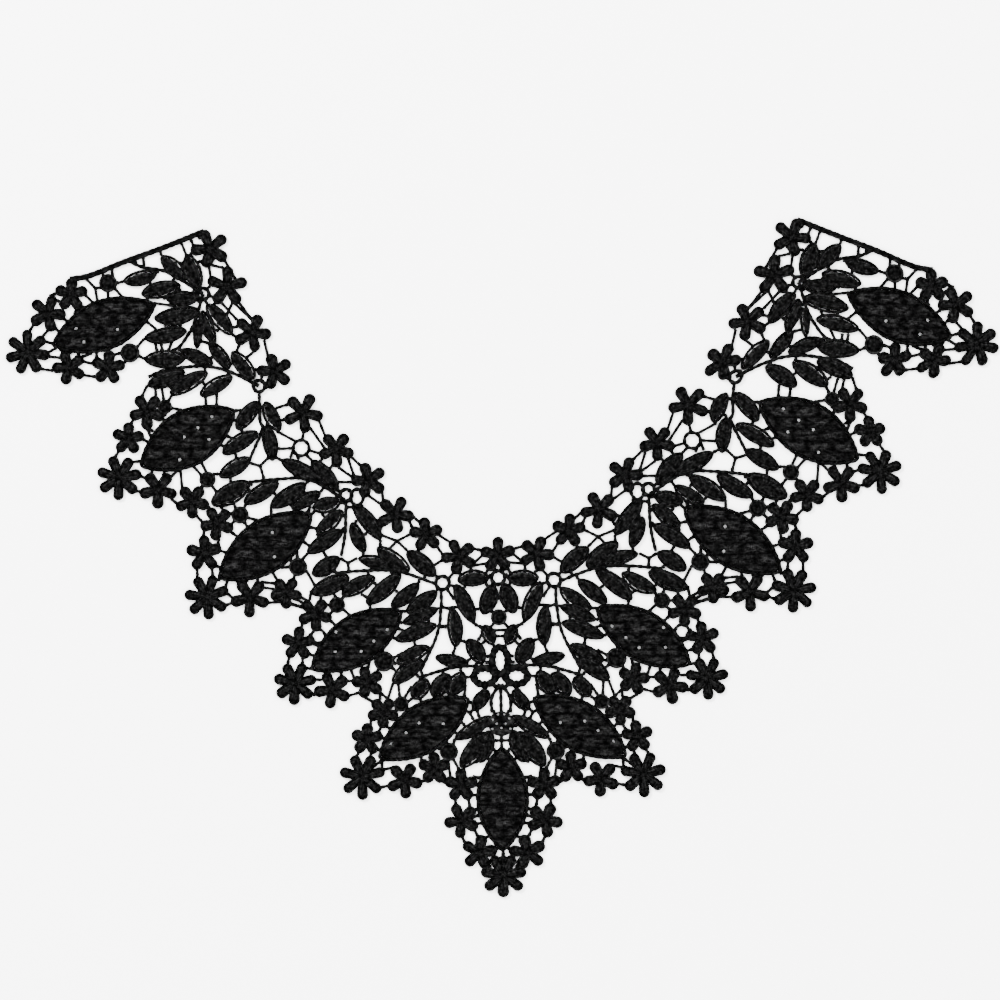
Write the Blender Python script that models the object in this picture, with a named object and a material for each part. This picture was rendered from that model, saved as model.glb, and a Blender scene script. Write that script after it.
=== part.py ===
"""A pointed collar of black needle-lace, laid flat on its underside.

Everything is drawn in millimetres in one half chart: x runs outward from the centre line, y runs
back towards the neck. Each motif is one table row and one short formula. Both wings are laid from
the same chart, the motifs are united, small gaps are closed, and the outlines are raised into
closed walls with padded crests over a plain flat underside at z = 0.
"""
import math

import bpy
import numpy as np
from mathutils.geometry import delaunay_2d_cdt

MM = 0.001

# Heights, in millimetres
GROUND = 1.2            # wall of the threads, stems and the edge of every motif
LEAF_CREST = 2.2        # top of a padded leaf
PETAL_CREST = 1.9       # top of a petal
FLOWER_EYE = 1.4        # the dip in the middle of a flower
BERRY_CREST = 2.3       # top of a round berry
CORD_CREST = 2.2        # top of the corded rims and of the end cords
PANEL_EDGE = 1.4        # edge of a woven leaf filling
PANEL_CREST = 2.1       # its crown
PANEL_SLOPE = 2.6       # how far in from the edge the crown starts

# Widths and clearances, in millimetres
SEAM = 0.3              # clear gap between two pieces
BAR = 1.4               # width of a linking bar
STEM = 1.6              # width of a stem
RIM = 1.8               # width of the cord round a big leaf
PETAL5 = 4.5            # width of a petal on a five-petal flower
PETAL7 = 4.4            # width of a petal on a seven-petal flower
PETAL_BLUNT = 0.15      # how far a petal's corners lie inside its radius, in half widths
PETAL_FULL = 0.86       # how far apart they lie, in widths
VALLEY5 = 0.42          # depth of the valley between five petals, in radii
VALLEY7 = 0.54          # the same between seven
PETAL_PAD = 0.68        # where a petal's crest lies, in radii
LEAF_PADS = (0.3, 0.7)  # where a small leaf's two crests lie along its midrib
TIP_INSET = 1.3         # how much further than its sides a leaf's tips are drawn in
LEAF_BLUNT = 0.55       # power that rounds a small leaf; 1 is a plain sine lens
BIG_BLUNT = 0.75        # the same for a big leaf
LEAF_EASE = 1.06        # added width that makes up for a small leaf's straight sides

# Steps along one side of a leaf, and sides of a round motif
LEAF_STEPS = 4
BIG_STEPS = 8
CREST_STEPS = 6
ROUND_SIDES = 7
HOLE_SIDES = 6

# Linking bars: how far apart two motifs may stand and still be linked, and how their bars lie
TOUCHING = 0.05         # motifs closer than this need no bar
REACH = 4.4             # longest bar between two motifs
SECOND_REACH = 3.0      # longest second bar between the same two
SECOND_APART = 6.0      # and how far it lies from the first, at least
BAR_SPACING = 3.2       # clear distance between bars, centre to centre
BAR_CLEAR = 0.5         # clear distance from a bar's centre to any other motif
BAR_SINK = 0.5          # how far a bar's ends run into what they join
BAR_SAMPLES = 9         # points read along a bar for those distances
ON_AXIS = 0.8           # bars whose ends' x add up to less than this cross the centre line
ACROSS = 14.0           # motifs of the other wing this near the centre line are linked too

# Areas, in mm2: gaps that can't hold a 4 mm circle are closed, and slight corners go
SMALLEST_GAP = 13.0
SMALLEST_CORNER = 1.0
SMALLEST_LOOP = 1.0
FEWEST_CORNERS = 4

# A crest keeps this far from its piece's edges and from other crests
CREST_FROM_EDGE = 0.6
CREST_APART = 1.2
EDGE_SPACING = 0.35     # spacing of the points that stand for an edge in that test

# The right wing lies a little further out at its back end than the left one
LAY_OUT = 4.7
LAY_BACK = 0.7
LAY_FROM, LAY_TO = 61.0, 88.0

# The laid collar's centre, brought over the origin
CENTRE_X, CENTRE_Y = 2.34, -1.20

# Padded small leaves: x, y of the base; turn of the tip in degrees; length; width
LEAF_ROWS = (
    # first scallop, at the back end of the wing
    (140.6, 120.0, -13, 14.6, 6.3), (130.7, 114.9, -12, 17.1, 7.1), (123.2, 109.4, -1, 13.8, 6.3),
    (122.9, 104.4, -10, 19.5, 7.5), (128.4, 96.1, -10, 18.2, 6.7), (129.4, 117.0, 47, 13.9, 6.7),
    (122.8, 113.6, 70, 15.2, 7.5), (120.3, 106.9, -129, 16.9, 6.7), (122.0, 104.4, -110, 15.2, 5.4),
    (123.3, 100.7, -85, 12.5, 3.8), (129.0, 84.5, -1, 17.5, 7.5), (117.7, 81.8, 24, 14.9, 5.8),
    (110.7, 79.7, 53, 14.3, 5.8), (100.3, 75.4, 51, 15.1, 6.7),
    # second scallop
    (129.4, 79.1, -20, 17.0, 6.7), (119.9, 78.5, -30, 18.5, 6.7), (109.6, 76.7, -30, 16.0, 6.3),
    (100.0, 66.2, -53, 14.9, 6.7), (99.3, 54.5, -31, 17.6, 6.3), (102.4, 42.5, -30, 15.5, 6.7),
    (96.3, 66.1, -116, 14.0, 6.3), (96.0, 56.1, -100, 15.3, 6.3),
    # third scallop
    (66.3, 28.2, 50, 17.1, 7.1), (73.0, 32.5, 28, 19.2, 6.7), (103.0, 31.6, -29, 18.3, 7.9),
    (92.1, 30.7, -29, 15.3, 6.3), (80.1, 30.9, -30, 17.4, 6.7), (72.6, 27.5, -29, 13.4, 5.8),
    (65.1, 23.6, -13, 12.4, 6.7), (64.4, 20.3, -40, 14.8, 6.3), (64.5, 12.0, -32, 17.8, 6.7),
    (65.9, 0.7, -32, 13.9, 7.1), (60.2, 22.8, -127, 19.0, 6.7), (60.7, 15.3, -112, 14.0, 5.8),
    # fourth scallop
    (41.7, -3.7, 13, 17.1, 5.8), (36.8, -5.5, 37, 17.0, 7.1), (26.0, -7.7, 41, 16.0, 7.5),
    (62.6, -7.2, -23, 16.4, 7.9), (51.8, -8.2, -31, 15.2, 6.7), (41.8, -7.5, -40, 17.7, 7.1),
    (33.1, -10.5, -40, 15.4, 6.3), (25.6, -13.9, -35, 15.8, 6.7), (25.3, -21.5, -22, 16.3, 6.3),
    (25.8, -27.3, -20, 18.7, 6.7), (28.8, -37.2, -26, 15.8, 6.3), (31.8, -42.6, -36, 16.1, 7.1),
    (18.1, -11.1, -115, 18.1, 7.5), (19.0, -21.5, -95, 16.3, 6.7),
    # fifth scallop
    (12.7, -44.1, 11, 14.4, 5.4), (6.8, -44.6, 58, 12.4, 7.1), (29.8, -50.6, -51, 10.7, 6.9),
    (20.6, -48.6, -51, 12.2, 7.4), (14.8, -47.8, -54, 11.7, 7.4),
    # beside the centre line
    (3.5, -8.8, -3, 13.8, 7.1), (2.2, -11.3, -71, 13.6, 7.5), (4.8, -55.4, -54, 10.8, 5.8),
    (3.9, -66.3, -32, 17.8, 5.8), (5.6, -73.4, -54, 18.3, 7.1), (4.4, -72.2, -72, 14.4, 6.7),
    (1.4, -36.5, 50, 8.6, 5.4),
)

# Big leaves of one wing and of the point: x, y of the neck end; turn; length; width
BIG_LEAF_ROWS = (
    (142.0, 107.4, -21, 45.8, 19.2),
    (109.2, 63.0, -30, 45.4, 22.1),
    (77.3, 18.9, -34, 47.3, 22.0),
    (40.3, -22.1, -32, 45.0, 20.9),
    (12.9, -58.8, -33, 45.1, 20.5),
)
POINT_LEAF = (0.0, -79.3, -90, 43.3, 20.4)

# Seven-petal flowers at the tips of the scallops: x, y, radius, turn of one petal
TIP_ROWS = (
    (194.4, 87.2, 8.8, 37), (157.5, 35.0, 8.8, 18), (121.5, -14.6, 8.8, 8), (85.3, -51.7, 8.8, 14),
    (57.7, -91.0, 9.4, 14),
)
POINT_TIP = (0.0, -132.8, 8.8, 13)

# Five-petal flowers: x, y, radius, turn of one petal
FLOWER_ROWS = (
    # along the outer edge, scallop by scallop
    (186.6, 103.8, 7.6, 40), (176.5, 111.5, 6.8, 21), (177.8, 81.1, 7.0, 71), (161.5, 80.9, 7.0, 23),
    (153.6, 51.2, 6.6, 23), (145.5, 62.4, 7.4, 55), (141.3, 29.8, 7.8, 56), (127.2, 24.7, 7.0, 52),
    (116.9, 15.4, 7.0, 61), (122.5, 2.9, 7.4, 17), (104.4, -15.2, 7.8, 57), (88.5, -13.8, 6.6, 55),
    (76.6, -23.1, 7.0, 51), (83.8, -35.1, 7.0, 23), (70.3, -54.8, 7.4, 65), (54.9, -51.7, 6.6, 3),
    (48.8, -64.3, 6.4, 55), (55.6, -75.4, 6.6, 23), (40.8, -92.7, 7.4, 55), (27.8, -87.9, 6.6, 19),
    (16.7, -95.1, 6.8, 19), (16.6, -109.7, 7.2, 63), (9.6, -123.1, 7.2, 29),
    # along the neck edge, from the back end to the centre
    (118.4, 130.0, 7.4, 69), (111.5, 114.0, 7.8, 19), (101.3, 94.7, 7.8, 43), (92.0, 78.4, 7.4, 3),
    (80.5, 61.1, 8.3, 47), (66.9, 45.6, 7.4, 54), (53.4, 32.5, 7.4, 1), (42.7, 18.2, 7.8, 44),
    (29.9, 9.7, 7.0, 13), (16.3, 0.3, 7.4, 67),
)
NECK_FLOWER = (0.0, 0.5, 7.4, 18)

# Round berries: x, y, diameter
BERRY_ROWS = (
    (161.1, 116.1, 7.1), (152.3, 86.9, 7.5), (138.0, 64.2, 5.4), (120.7, 33.7, 6.3),
    (107.3, 18.8, 6.7), (83.4, -3.2, 7.1), (67.4, -19.2, 6.3), (48.1, -43.2, 7.5),
    (41.2, -60.8, 5.8), (21.5, -81.1, 7.1),
)

# Ringed eyelets: x, y, turn, outer length, outer width, hole length, hole width
EYELET_ROWS = (
    (121.5, 111.1, 0, 5.8, 5.8, 3.1, 3.1), (81.5, 46.4, 0, 7.4, 7.4, 4.6, 4.6),
    (98.7, 72.4, 0, 5.8, 5.8, 3.1, 3.1), (63.0, 26.5, 0, 5.8, 5.8, 3.1, 3.1),
    (58.5, 25.6, 90, 7.4, 6.2, 5.0, 3.6), (23.3, -10.6, 0, 6.6, 6.6, 3.8, 3.8),
    (75.4, -32.1, 0, 6.4, 6.4, 3.8, 3.8), (7.2, -49.8, 0, 10.6, 9.6, 5.8, 3.4),
)
CENTRE_EYELET_ROWS = (
    (0.0, -8.9, 0, 6.6, 6.6, 3.8, 3.8), (0.0, -43.3, 90, 14.0, 8.0, 7.5, 3.8),
)
CENTRE_DISCS = (
    # x, y, diameter: the knot under the neck and the openwork disc above the point
    (0.0, -25.4, 6.8), (0.0, -69.6, 10.4),
)

# Stems: the points that each curve passes through
STEM_ROWS = (
    ((152.5, 125.2), (146.4, 122.6), (136.0, 120.2), (121.5, 111.1)),
    ((121.5, 111.1), (125.0, 101.1), (131.0, 91.6), (136.5, 86.0)),
    ((144.9, 76.8), (137.8, 79.4), (123.2, 81.0), (111.5, 78.8), (98.7, 72.4)),
    ((98.7, 70.8), (98.5, 58.2), (97.7, 54.1), (103.3, 41.2)),
    ((103.4, 32.5), (90.4, 33.6), (77.9, 33.0), (63.5, 24.5)),
    ((63.1, 23.6), (63.6, 10.7), (65.4, 1.1)),
    ((68.0, -5.9), (53.8, -5.0), (40.9, -5.8), (26.0, -11.0)),
    ((23.9, -13.6), (24.0, -20.6), (25.9, -32.3), (33.1, -47.6)),
    ((34.0, -50.1), (21.9, -46.5), (12.3, -45.4), (6.4, -46.3)),
    ((0.3, -53.0), (3.6, -58.8), (3.6, -65.0)),
)
CENTRE_STEM = ((0.0, -52.0), (0.0, -65.0))

# The corded bar across the back end of a wing
END_CORD = ((176.9, 117.9), (168.5, 119.4), (153.9, 125.0), (138.4, 130.4), (120.8, 137.2))
END_CORD_WIDTH = 2.1
CORD_SPACING = 20.0

# Bars that meet at a knot: the knot's x, y and then the far ends
KNOT_ROWS = (
    (166.5, 114.1, (170.2, 117.1), (165.4, 106.9), (161.6, 114.5)),
    (98.7, 39.1, (102.9, 40.4), (95.8, 42.0), (97.1, 33.6)),
    (62.6, -1.8, (65.4, 1.1), (58.8, -0.2), (62.2, -6.0)),
    (42.0, 7.1, (46.0, 10.4), (38.3, 9.4), (45.4, 3.8), (38.7, 4.2)),
    (12.6, -65.0, (16.0, -62.6), (10.6, -63.0), (11.0, -68.0)),
    (10.3, -28.3, (10.3, -24.1), (4.6, -29.6)),
    (2.2, -76.0, (3.4, -72.0), (0.0, -72.5), (0.0, -80.0)),
)

# Single bars that run the length of a gap: x, y of both ends
BAR_ROWS = (
    (107.6, 108.8, 101.2, 99.9), (95.5, 91.5, 94.8, 84.5), (74.6, 59.5, 70.6, 49.0),
    (77.8, 55.0, 71.4, 46.8), (59.9, 41.1, 56.6, 38.5), (48.0, 26.3, 47.6, 23.4),
    (51.8, 25.6, 48.1, 22.2), (33.6, 16.6, 31.9, 14.1), (25.4, 9.9, 18.6, 5.5),
    (130.9, 134.0, 128.0, 126.4), (159.8, 121.4, 159.0, 117.8), (146.3, 126.8, 146.0, 122.6),
    (94.3, 22.4, 94.4, 17.8), (30.7, -21.4, 16.5, -20.7), (24.6, -29.0, 21.6, -29.0),
    (87.4, -18.2, 81.5, -19.9),
    (161.2, 114.0, 161.2, 107.2), (22.0, -84.0, 20.8, -93.2), (15.9, -83.2, 14.5, -92.9),
    (66.5, -46.3, 65.3, -50.5), (62.3, -45.1, 60.7, -49.8), (1.0, -23.4, 6.2, -22.2),
    (1.8, -27.4, 5.2, -31.4),
)

# The seam between a wing and the centre point runs through gaps and across thin bars
SEAM_LINE = (
    (7.8, 12.5), (7.9, 3.3), (8.4, -1.2), (13.4, -3.7), (18.0, -5.7), (19.5, -9.0), (20.0, -13.2),
    (16.7, -17.8), (15.9, -22.8), (14.6, -30.3), (14.9, -36.2), (12.2, -40.8), (10.6, -44.2),
    (13.0, -48.0), (12.0, -52.9), (12.6, -58.3), (13.2, -62.9), (14.0, -66.2), (16.8, -71.2),
    (18.9, -74.7), (18.1, -77.8), (17.1, -81.1), (19.0, -86.1), (21.6, -91.1), (23.5, -94.0),
    (25.4, -99.0), (27.0, -107.3),
)


# ---------------------------------------------------------------- outlines in the half chart

def polar(x, y, turn, along, across):
    """Points at a distance along and across a direction that starts at x, y."""
    c, s = math.cos(math.radians(turn)), math.sin(math.radians(turn))
    along, across = np.asarray(along, float), np.asarray(across, float)
    return np.column_stack((x + c * along - s * across, y + s * along + c * across))


def lens(x, y, turn, length, width, blunt, steps):
    """A leaf: half its width times sin(pi t) to a power, mirrored over its midrib."""
    t = (1 - np.cos(np.pi * np.arange(steps + 1) / steps)) / 2
    half = width / 2 * np.abs(np.sin(np.pi * t)) ** blunt
    half[[0, -1]] = 0
    lower = polar(x, y, turn, length * t, -half)
    upper = polar(x, y, turn, length * t, half)
    return np.vstack((lower, upper[-2:0:-1]))


def inset_lens(row, inset, steps):
    """A big leaf's lens, drawn in from its edge by a set width."""
    x, y, turn, length, width = row
    (x, y), = polar(x, y, turn, [TIP_INSET * inset], [0])
    shorter = length - 2 * TIP_INSET * inset
    return lens(x, y, turn, shorter, width - 2 * inset, BIG_BLUNT, steps)


def flower(x, y, radius, turn, petals, petal_width):
    """Knob petals round a centre: a valley and the two blunt corners of a petal in turn."""
    half = petal_width / 2
    along = np.full(2, radius - half * PETAL_BLUNT)
    across = half * np.array([-PETAL_FULL, PETAL_FULL])
    valley = radius * (VALLEY5 if petals == 5 else VALLEY7)
    points = []
    for k in range(petals):
        angle = turn + 360 * k / petals
        points.append(polar(x, y, angle - 180 / petals, [valley], [0]))
        points.append(polar(x, y, angle, along, across))
    return np.vstack(points)


def oval(x, y, turn, length, width, sides):
    """An ellipse with a set number of sides."""
    a = 2 * np.pi * (np.arange(sides) + 0.5) / sides
    return polar(x, y, turn, length / 2 * np.cos(a), width / 2 * np.sin(a))


def smooth_curve(points, spacing):
    """A Catmull-Rom curve through the points, read at about the given spacing."""
    p = np.asarray(points, float)
    p = np.vstack((2 * p[0] - p[1], p, 2 * p[-1] - p[-2]))
    out = []
    for a, b, c, d in zip(p[:-3], p[1:-2], p[2:-1], p[3:]):
        n = max(1, round(np.linalg.norm(c - b) / spacing))
        t = (np.arange(n) / n)[:, None]
        out.append(0.5 * (2 * b + (c - a) * t + (2 * a - 5 * b + 4 * c - d) * t ** 2
                          + (3 * b - a - 3 * c + d) * t ** 3))
    out.append(p[-2:-1])
    return np.vstack(out)


def ribbon(centre, width):
    """A strip of even width along a line."""
    run = np.gradient(centre, axis=0)
    run /= np.linalg.norm(run, axis=1)[:, None]
    side = np.column_stack((-run[:, 1], run[:, 0])) * width / 2
    return np.vstack((centre - side, (centre + side)[::-1]))


def bar(x0, y0, x1, y1):
    """A straight thin bar between two points."""
    return ribbon(np.array([[x0, y0], [x1, y1]], float), BAR)


# ---------------------------------------------------------------- linking bars

def dense(outline, spacing=0.7):
    """The outline with extra points along its longer edges."""
    ends = np.roll(outline, -1, axis=0)
    out = []
    for a, b in zip(outline, ends):
        n = max(1, math.ceil(np.linalg.norm(b - a) / spacing))
        out.append(a + (b - a) * (np.arange(n) / n)[:, None])
    return np.vstack(out)


def inside(points, outline):
    """Which points lie inside a closed outline, by counting crossings."""
    a, b = outline, np.roll(outline, -1, axis=0)
    x, y = points[:, :1], points[:, 1:]
    spans = (a[:, 1] > y) != (b[:, 1] > y)
    with np.errstate(divide="ignore", invalid="ignore"):
        cross = (b[:, 0] - a[:, 0]) * (y - a[:, 1]) / (b[:, 1] - a[:, 1]) + a[:, 0]
    return (spans & (x < cross)).sum(axis=1) % 2 == 1


def closest_links(first, second):
    """Up to two short links between two outlines: the closest, and one well away from it."""
    gap = np.linalg.norm(first[:, None] - second[None], axis=2)
    i, j = np.unravel_index(gap.argmin(), gap.shape)
    if not TOUCHING < gap[i, j] < REACH:
        return []
    links = [(gap[i, j], first[i], second[j])]
    middle = (first[i] + second[j]) / 2
    nearest = gap.argmin(axis=1)
    short = gap[np.arange(len(first)), nearest]
    centres = (first + second[nearest]) / 2
    away = np.linalg.norm(centres - middle, axis=1)
    away[short > SECOND_REACH] = 0
    k = away.argmax()
    if away[k] > SECOND_APART:
        links.append((short[k], first[k], second[nearest[k]]))
    return links


def linking_bars(shapes, taken):
    """Short bars between neighbouring motifs, shortest first, kept apart and off other motifs."""
    points = [dense(s) for s in shapes]
    low = np.array([p.min(axis=0) for p in points]) - REACH / 2
    high = np.array([p.max(axis=0) for p in points]) + REACH / 2
    links = []
    for i in range(len(shapes)):
        for j in range(i + 1, len(shapes)):
            if (low[i] < high[j]).all() and (low[j] < high[i]).all():
                if not inside(points[i], shapes[j]).any() and not inside(points[j], shapes[i]).any():
                    links += [(d, i, j, p, q) for d, p, q in closest_links(points[i], points[j])]
    links.sort(key=lambda link: link[0])
    run = np.linspace(0, 1, BAR_SAMPLES)[:, None]
    laid_runs = [a + (b - a) * np.linspace(0, 1, 3 * BAR_SAMPLES)[:, None] for a, b in taken]
    bars = []
    for length, i, j, p, q in links:
        samples = p + (q - p) * run
        if any(np.linalg.norm(samples[:, None] - other[None], axis=2).min() < BAR_SPACING
               for other in laid_runs):
            continue
        near = [k for k in range(len(shapes)) if k not in (i, j)
                and (low[k] < samples.max(axis=0)).all() and (high[k] > samples.min(axis=0)).all()]
        if any(np.linalg.norm(samples[:, None] - points[k][None], axis=2).min() < BAR_CLEAR
               or inside(samples, shapes[k]).any() for k in near):
            continue
        along = (q - p) / length
        laid_runs.append(samples)
        bars.append((p - BAR_SINK * along, q + BAR_SINK * along))
    return bars


# ---------------------------------------------------------------- laying out the chart

def mirrored(outline):
    """The outline on the other side of the centre line, still anticlockwise."""
    return outline[::-1] * (-1, 1)


def laid(outline, side):
    """A half-chart outline on its own side, with the right wing's ease at the back end."""
    out = np.array(outline, float)
    if side > 0:
        t = np.clip((out[:, 1] - LAY_FROM) / (LAY_TO - LAY_FROM), 0, 1)
        ease = (t * t * (3 - 2 * t))[:, None]
        out = out + ease * (LAY_OUT, LAY_BACK)
    else:
        out = mirrored(out)
    return out - (CENTRE_X, CENTRE_Y)


def half_motifs():
    """The outlines of one wing's motifs and stems, and their crests as x, y, z rows."""
    shapes, crests = [], []
    for x, y, turn, length, width in LEAF_ROWS:
        shapes.append(lens(x, y, turn, length, LEAF_EASE * width, LEAF_BLUNT, LEAF_STEPS))
        spots = polar(x, y, turn, length * np.array(LEAF_PADS), [0, 0])
        crests += [(px, py, LEAF_CREST) for px, py in spots]
    for x, y, radius, turn in FLOWER_ROWS:
        shapes.append(flower(x, y, radius, turn, 5, PETAL5))
        crests += flower_crests(x, y, radius, turn, 5)
    for x, y, radius, turn in TIP_ROWS:
        shapes.append(flower(x, y, radius, turn, 7, PETAL7))
        crests += flower_crests(x, y, radius, turn, 7)
    for x, y, diameter in BERRY_ROWS:
        shapes.append(oval(x, y, 0, diameter, diameter, ROUND_SIDES))
        crests.append((x, y, BERRY_CREST))
    for row in BIG_LEAF_ROWS:
        shapes.append(lens(*row, BIG_BLUNT, BIG_STEPS))
        crests += [(px, py, CORD_CREST) for px, py in inset_lens(row, RIM / 2, CREST_STEPS)]
    for points in STEM_ROWS:
        shapes.append(ribbon(smooth_curve(points, 4.0), STEM))
    for x, y, turn, length, width, _, _ in EYELET_ROWS:
        shapes.append(oval(x, y, turn, length, width, ROUND_SIDES))
    return shapes, crests


def flower_crests(x, y, radius, turn, petals):
    """A dip at the flower's eye and a crest on each petal."""
    spots = [(x, y, FLOWER_EYE)]
    for k in range(petals):
        (px, py), = polar(x, y, turn + 360 * k / petals, [radius * PETAL_PAD], [0])
        spots.append((px, py, PETAL_CREST))
    return spots


def centre_motifs():
    """The same for what lies on the centre line."""
    shapes, crests = [], []
    x, y, radius, turn = NECK_FLOWER
    shapes.append(flower(x, y, radius, turn, 5, PETAL5))
    crests += flower_crests(x, y, radius, turn, 5)
    x, y, radius, turn = POINT_TIP
    shapes.append(flower(x, y, radius, turn, 7, PETAL7))
    crests += flower_crests(x, y, radius, turn, 7)
    shapes.append(lens(*POINT_LEAF, BIG_BLUNT, BIG_STEPS))
    crests += [(px, py, CORD_CREST) for px, py in inset_lens(POINT_LEAF, RIM / 2, CREST_STEPS)]
    for x, y, turn, length, width, _, _ in CENTRE_EYELET_ROWS:
        shapes.append(oval(x, y, turn, length, width, ROUND_SIDES + 1))
    for x, y, diameter in CENTRE_DISCS:
        shapes.append(oval(x, y, 0, diameter, diameter, ROUND_SIDES + 1))
    shapes.append(ribbon(np.array(CENTRE_STEM, float), STEM))
    return shapes, crests


def drawn_bars():
    """The bars of the tables: each knot's arms and the single bars, as pairs of ends."""
    ends = [((x, y), end) for x, y, *arms in KNOT_ROWS for end in arms]
    ends += [((x0, y0), (x1, y1)) for x0, y0, x1, y1 in BAR_ROWS]
    return [(np.array(a, float), np.array(b, float)) for a, b in ends]


def chart():
    """All outlines of the lace ground, its holes, its seams and its crests, as laid."""
    wing, wing_crests = half_motifs()
    centre, centre_crests = centre_motifs()
    cord = ribbon(smooth_curve(END_CORD, CORD_SPACING), END_CORD_WIDTH + 2 * SEAM)
    beyond = [mirrored(s) for s in wing if s[:, 0].min() < ACROSS]
    fixed = drawn_bars()
    drawn = linking_bars(wing + centre + beyond + [cord], fixed)
    middle = [(a, b) for a, b in drawn if abs(a[0] + b[0]) < ON_AXIS]
    outer = [(a, b) for a, b in drawn if a[0] + b[0] >= ON_AXIS] + fixed
    shapes, crests = [s - (CENTRE_X, CENTRE_Y) for s in centre], []
    shapes += [bar(*a, *b) - (CENTRE_X, CENTRE_Y) for a, b in middle]
    crests += [(x - CENTRE_X, y - CENTRE_Y, z) for x, y, z in centre_crests]
    cuts = [oval(x, y, turn, length, width, HOLE_SIDES) - (CENTRE_X, CENTRE_Y)
            for x, y, turn, _, _, length, width in CENTRE_EYELET_ROWS]
    cuts.append(inset_lens(POINT_LEAF, RIM, BIG_STEPS) - (CENTRE_X, CENTRE_Y))
    for side in (-1, 1):
        shapes += [laid(s, side) for s in wing]
        shapes += [laid(bar(*a, *b), side) for a, b in outer]
        for x, y, z in wing_crests:
            (px, py), = laid([(x, y)], side)
            crests.append((px, py, z))
        cuts += [laid(oval(x, y, turn, length, width, HOLE_SIDES), side)
                 for x, y, turn, _, _, length, width in EYELET_ROWS]
        cuts += [laid(inset_lens(row, RIM, BIG_STEPS), side) for row in BIG_LEAF_ROWS]
        cuts.append(laid(ribbon(np.array(SEAM_LINE, float), SEAM), side))
        cuts.append(laid(cord, side))
    return shapes, cuts, crests


# ---------------------------------------------------------------- uniting the outlines

def area(outline):
    """The area inside an outline, negative when it runs clockwise."""
    x, y = outline[:, 0], outline[:, 1]
    return 0.5 * float(np.sum(x * np.roll(y, -1) - y * np.roll(x, -1)))


def anticlockwise(outline):
    """The same outline, turned round where it runs clockwise."""
    return outline if area(outline) > 0 else outline[::-1]


def triangulated(outlines, spots=()):
    """One constrained triangulation of closed outlines and loose points, with what holds each."""
    points, faces = [], []
    for outline in outlines:
        start = len(points)
        points += [tuple(p) for p in anticlockwise(outline)]
        faces.append(list(range(start, len(points))))
    points += [tuple(p) for p in spots]
    found = delaunay_2d_cdt(points, [], faces, 0, 1e-5, True)
    return np.array([tuple(v) for v in found[0]]), found[2], found[5], found[3]


def neighbours(triangles):
    """Each triangle edge's two sides: a map from a directed edge to its triangle."""
    sides = {}
    for t, (a, b, c) in enumerate(triangles):
        sides[a, b] = sides[b, c] = sides[c, a] = t
    return sides


def spread(start, triangles, sides, wanted):
    """All triangles that are joined to the first across edges, where wanted allows."""
    found, stack = {start}, [start]
    while stack:
        a, b, c = triangles[stack.pop()]
        for edge in ((b, a), (c, b), (a, c)):
            other = sides.get(edge)
            if other is not None and other not in found and wanted[other]:
                found.add(other)
                stack.append(other)
    return found


def patches(triangles, sides, wanted):
    """The separate connected patches of the wanted triangles."""
    left = {t for t in range(len(triangles)) if wanted[t]}
    out = []
    while left:
        patch = spread(min(left), triangles, sides, wanted)
        out.append(patch)
        left -= patch
    return out


def united(shapes, cuts):
    """The lace pieces: for each, its outer outline first and then its gaps."""
    points, triangles, inside_of, came_from = triangulated(shapes + cuts)
    cut_from = len(shapes)
    first_cut_point = sum(len(shape) for shape in shapes)
    kept = [any(k >= first_cut_point for k in origins) for origins in came_from]
    is_cut = [any(k >= cut_from for k in held) for held in inside_of]
    solid = [bool(held) and not cut for held, cut in zip(inside_of, is_cut)]
    corners = points[np.array(triangles)]
    e1, e2 = corners[:, 1] - corners[:, 0], corners[:, 2] - corners[:, 0]
    size = np.abs(e1[:, 0] * e2[:, 1] - e1[:, 1] * e2[:, 0]) / 2
    sides = neighbours(triangles)
    for patch in patches(triangles, sides, [not s for s in solid]):
        open_edge = any(edge not in sides for t in patch
                        for edge in ((triangles[t][1], triangles[t][0]),
                                     (triangles[t][2], triangles[t][1]),
                                     (triangles[t][0], triangles[t][2])))
        cut_area = sum(size[t] for t in patch if is_cut[t])
        if not open_edge and cut_area == 0 and sum(size[t] for t in patch) < SMALLEST_GAP:
            for t in patch:
                solid[t] = True
    pieces = []
    for patch in patches(triangles, sides, solid):
        loops = border_loops(patch, triangles, sides)
        loops = [thinned(points[loop], [kept[v] for v in loop]) for loop in loops]
        loops = sorted((loop for loop in loops if abs(area(loop)) > SMALLEST_LOOP),
                       key=area, reverse=True)
        if loops:
            pieces.append(loops)
    return sorted(pieces, key=lambda loops: -area(loops[0]))


def border_loops(patch, triangles, sides):
    """The closed borders of a patch, walked with the patch on the left."""
    after = {}
    for t in patch:
        a, b, c = triangles[t]
        for p, q in ((a, b), (b, c), (c, a)):
            if sides.get((q, p)) not in patch:
                after.setdefault(p, []).append(q)
    loops = []
    while after:
        start = next(iter(after))
        loop, here = [], start
        while True:
            loop.append(here)
            step = after[here].pop()
            if not after[here]:
                del after[here]
            here = step
            if here == start:
                break
        loops.append(loop)
    return loops


def thinned(loop, kept):
    """The loop without the corners whose triangle is smallest, one by one (Visvalingam).

    Corners that are kept, those of the holes and seams, never go.
    """
    points, kept = [tuple(p) for p in loop], list(kept)

    def corner(k):
        if kept[k]:
            return math.inf
        a, b, c = points[k - 1], points[k], points[(k + 1) % len(points)]
        return abs((b[0] - a[0]) * (c[1] - a[1]) - (c[0] - a[0]) * (b[1] - a[1])) / 2

    sizes = [corner(k) for k in range(len(points))]
    while len(points) > FEWEST_CORNERS:
        k = min(range(len(points)), key=sizes.__getitem__)
        if sizes[k] > SMALLEST_CORNER:
            break
        del points[k], kept[k], sizes[k]
        for near in (k - 1, k % len(points)):
            sizes[near] = corner(near)
    return np.array(points)


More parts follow.
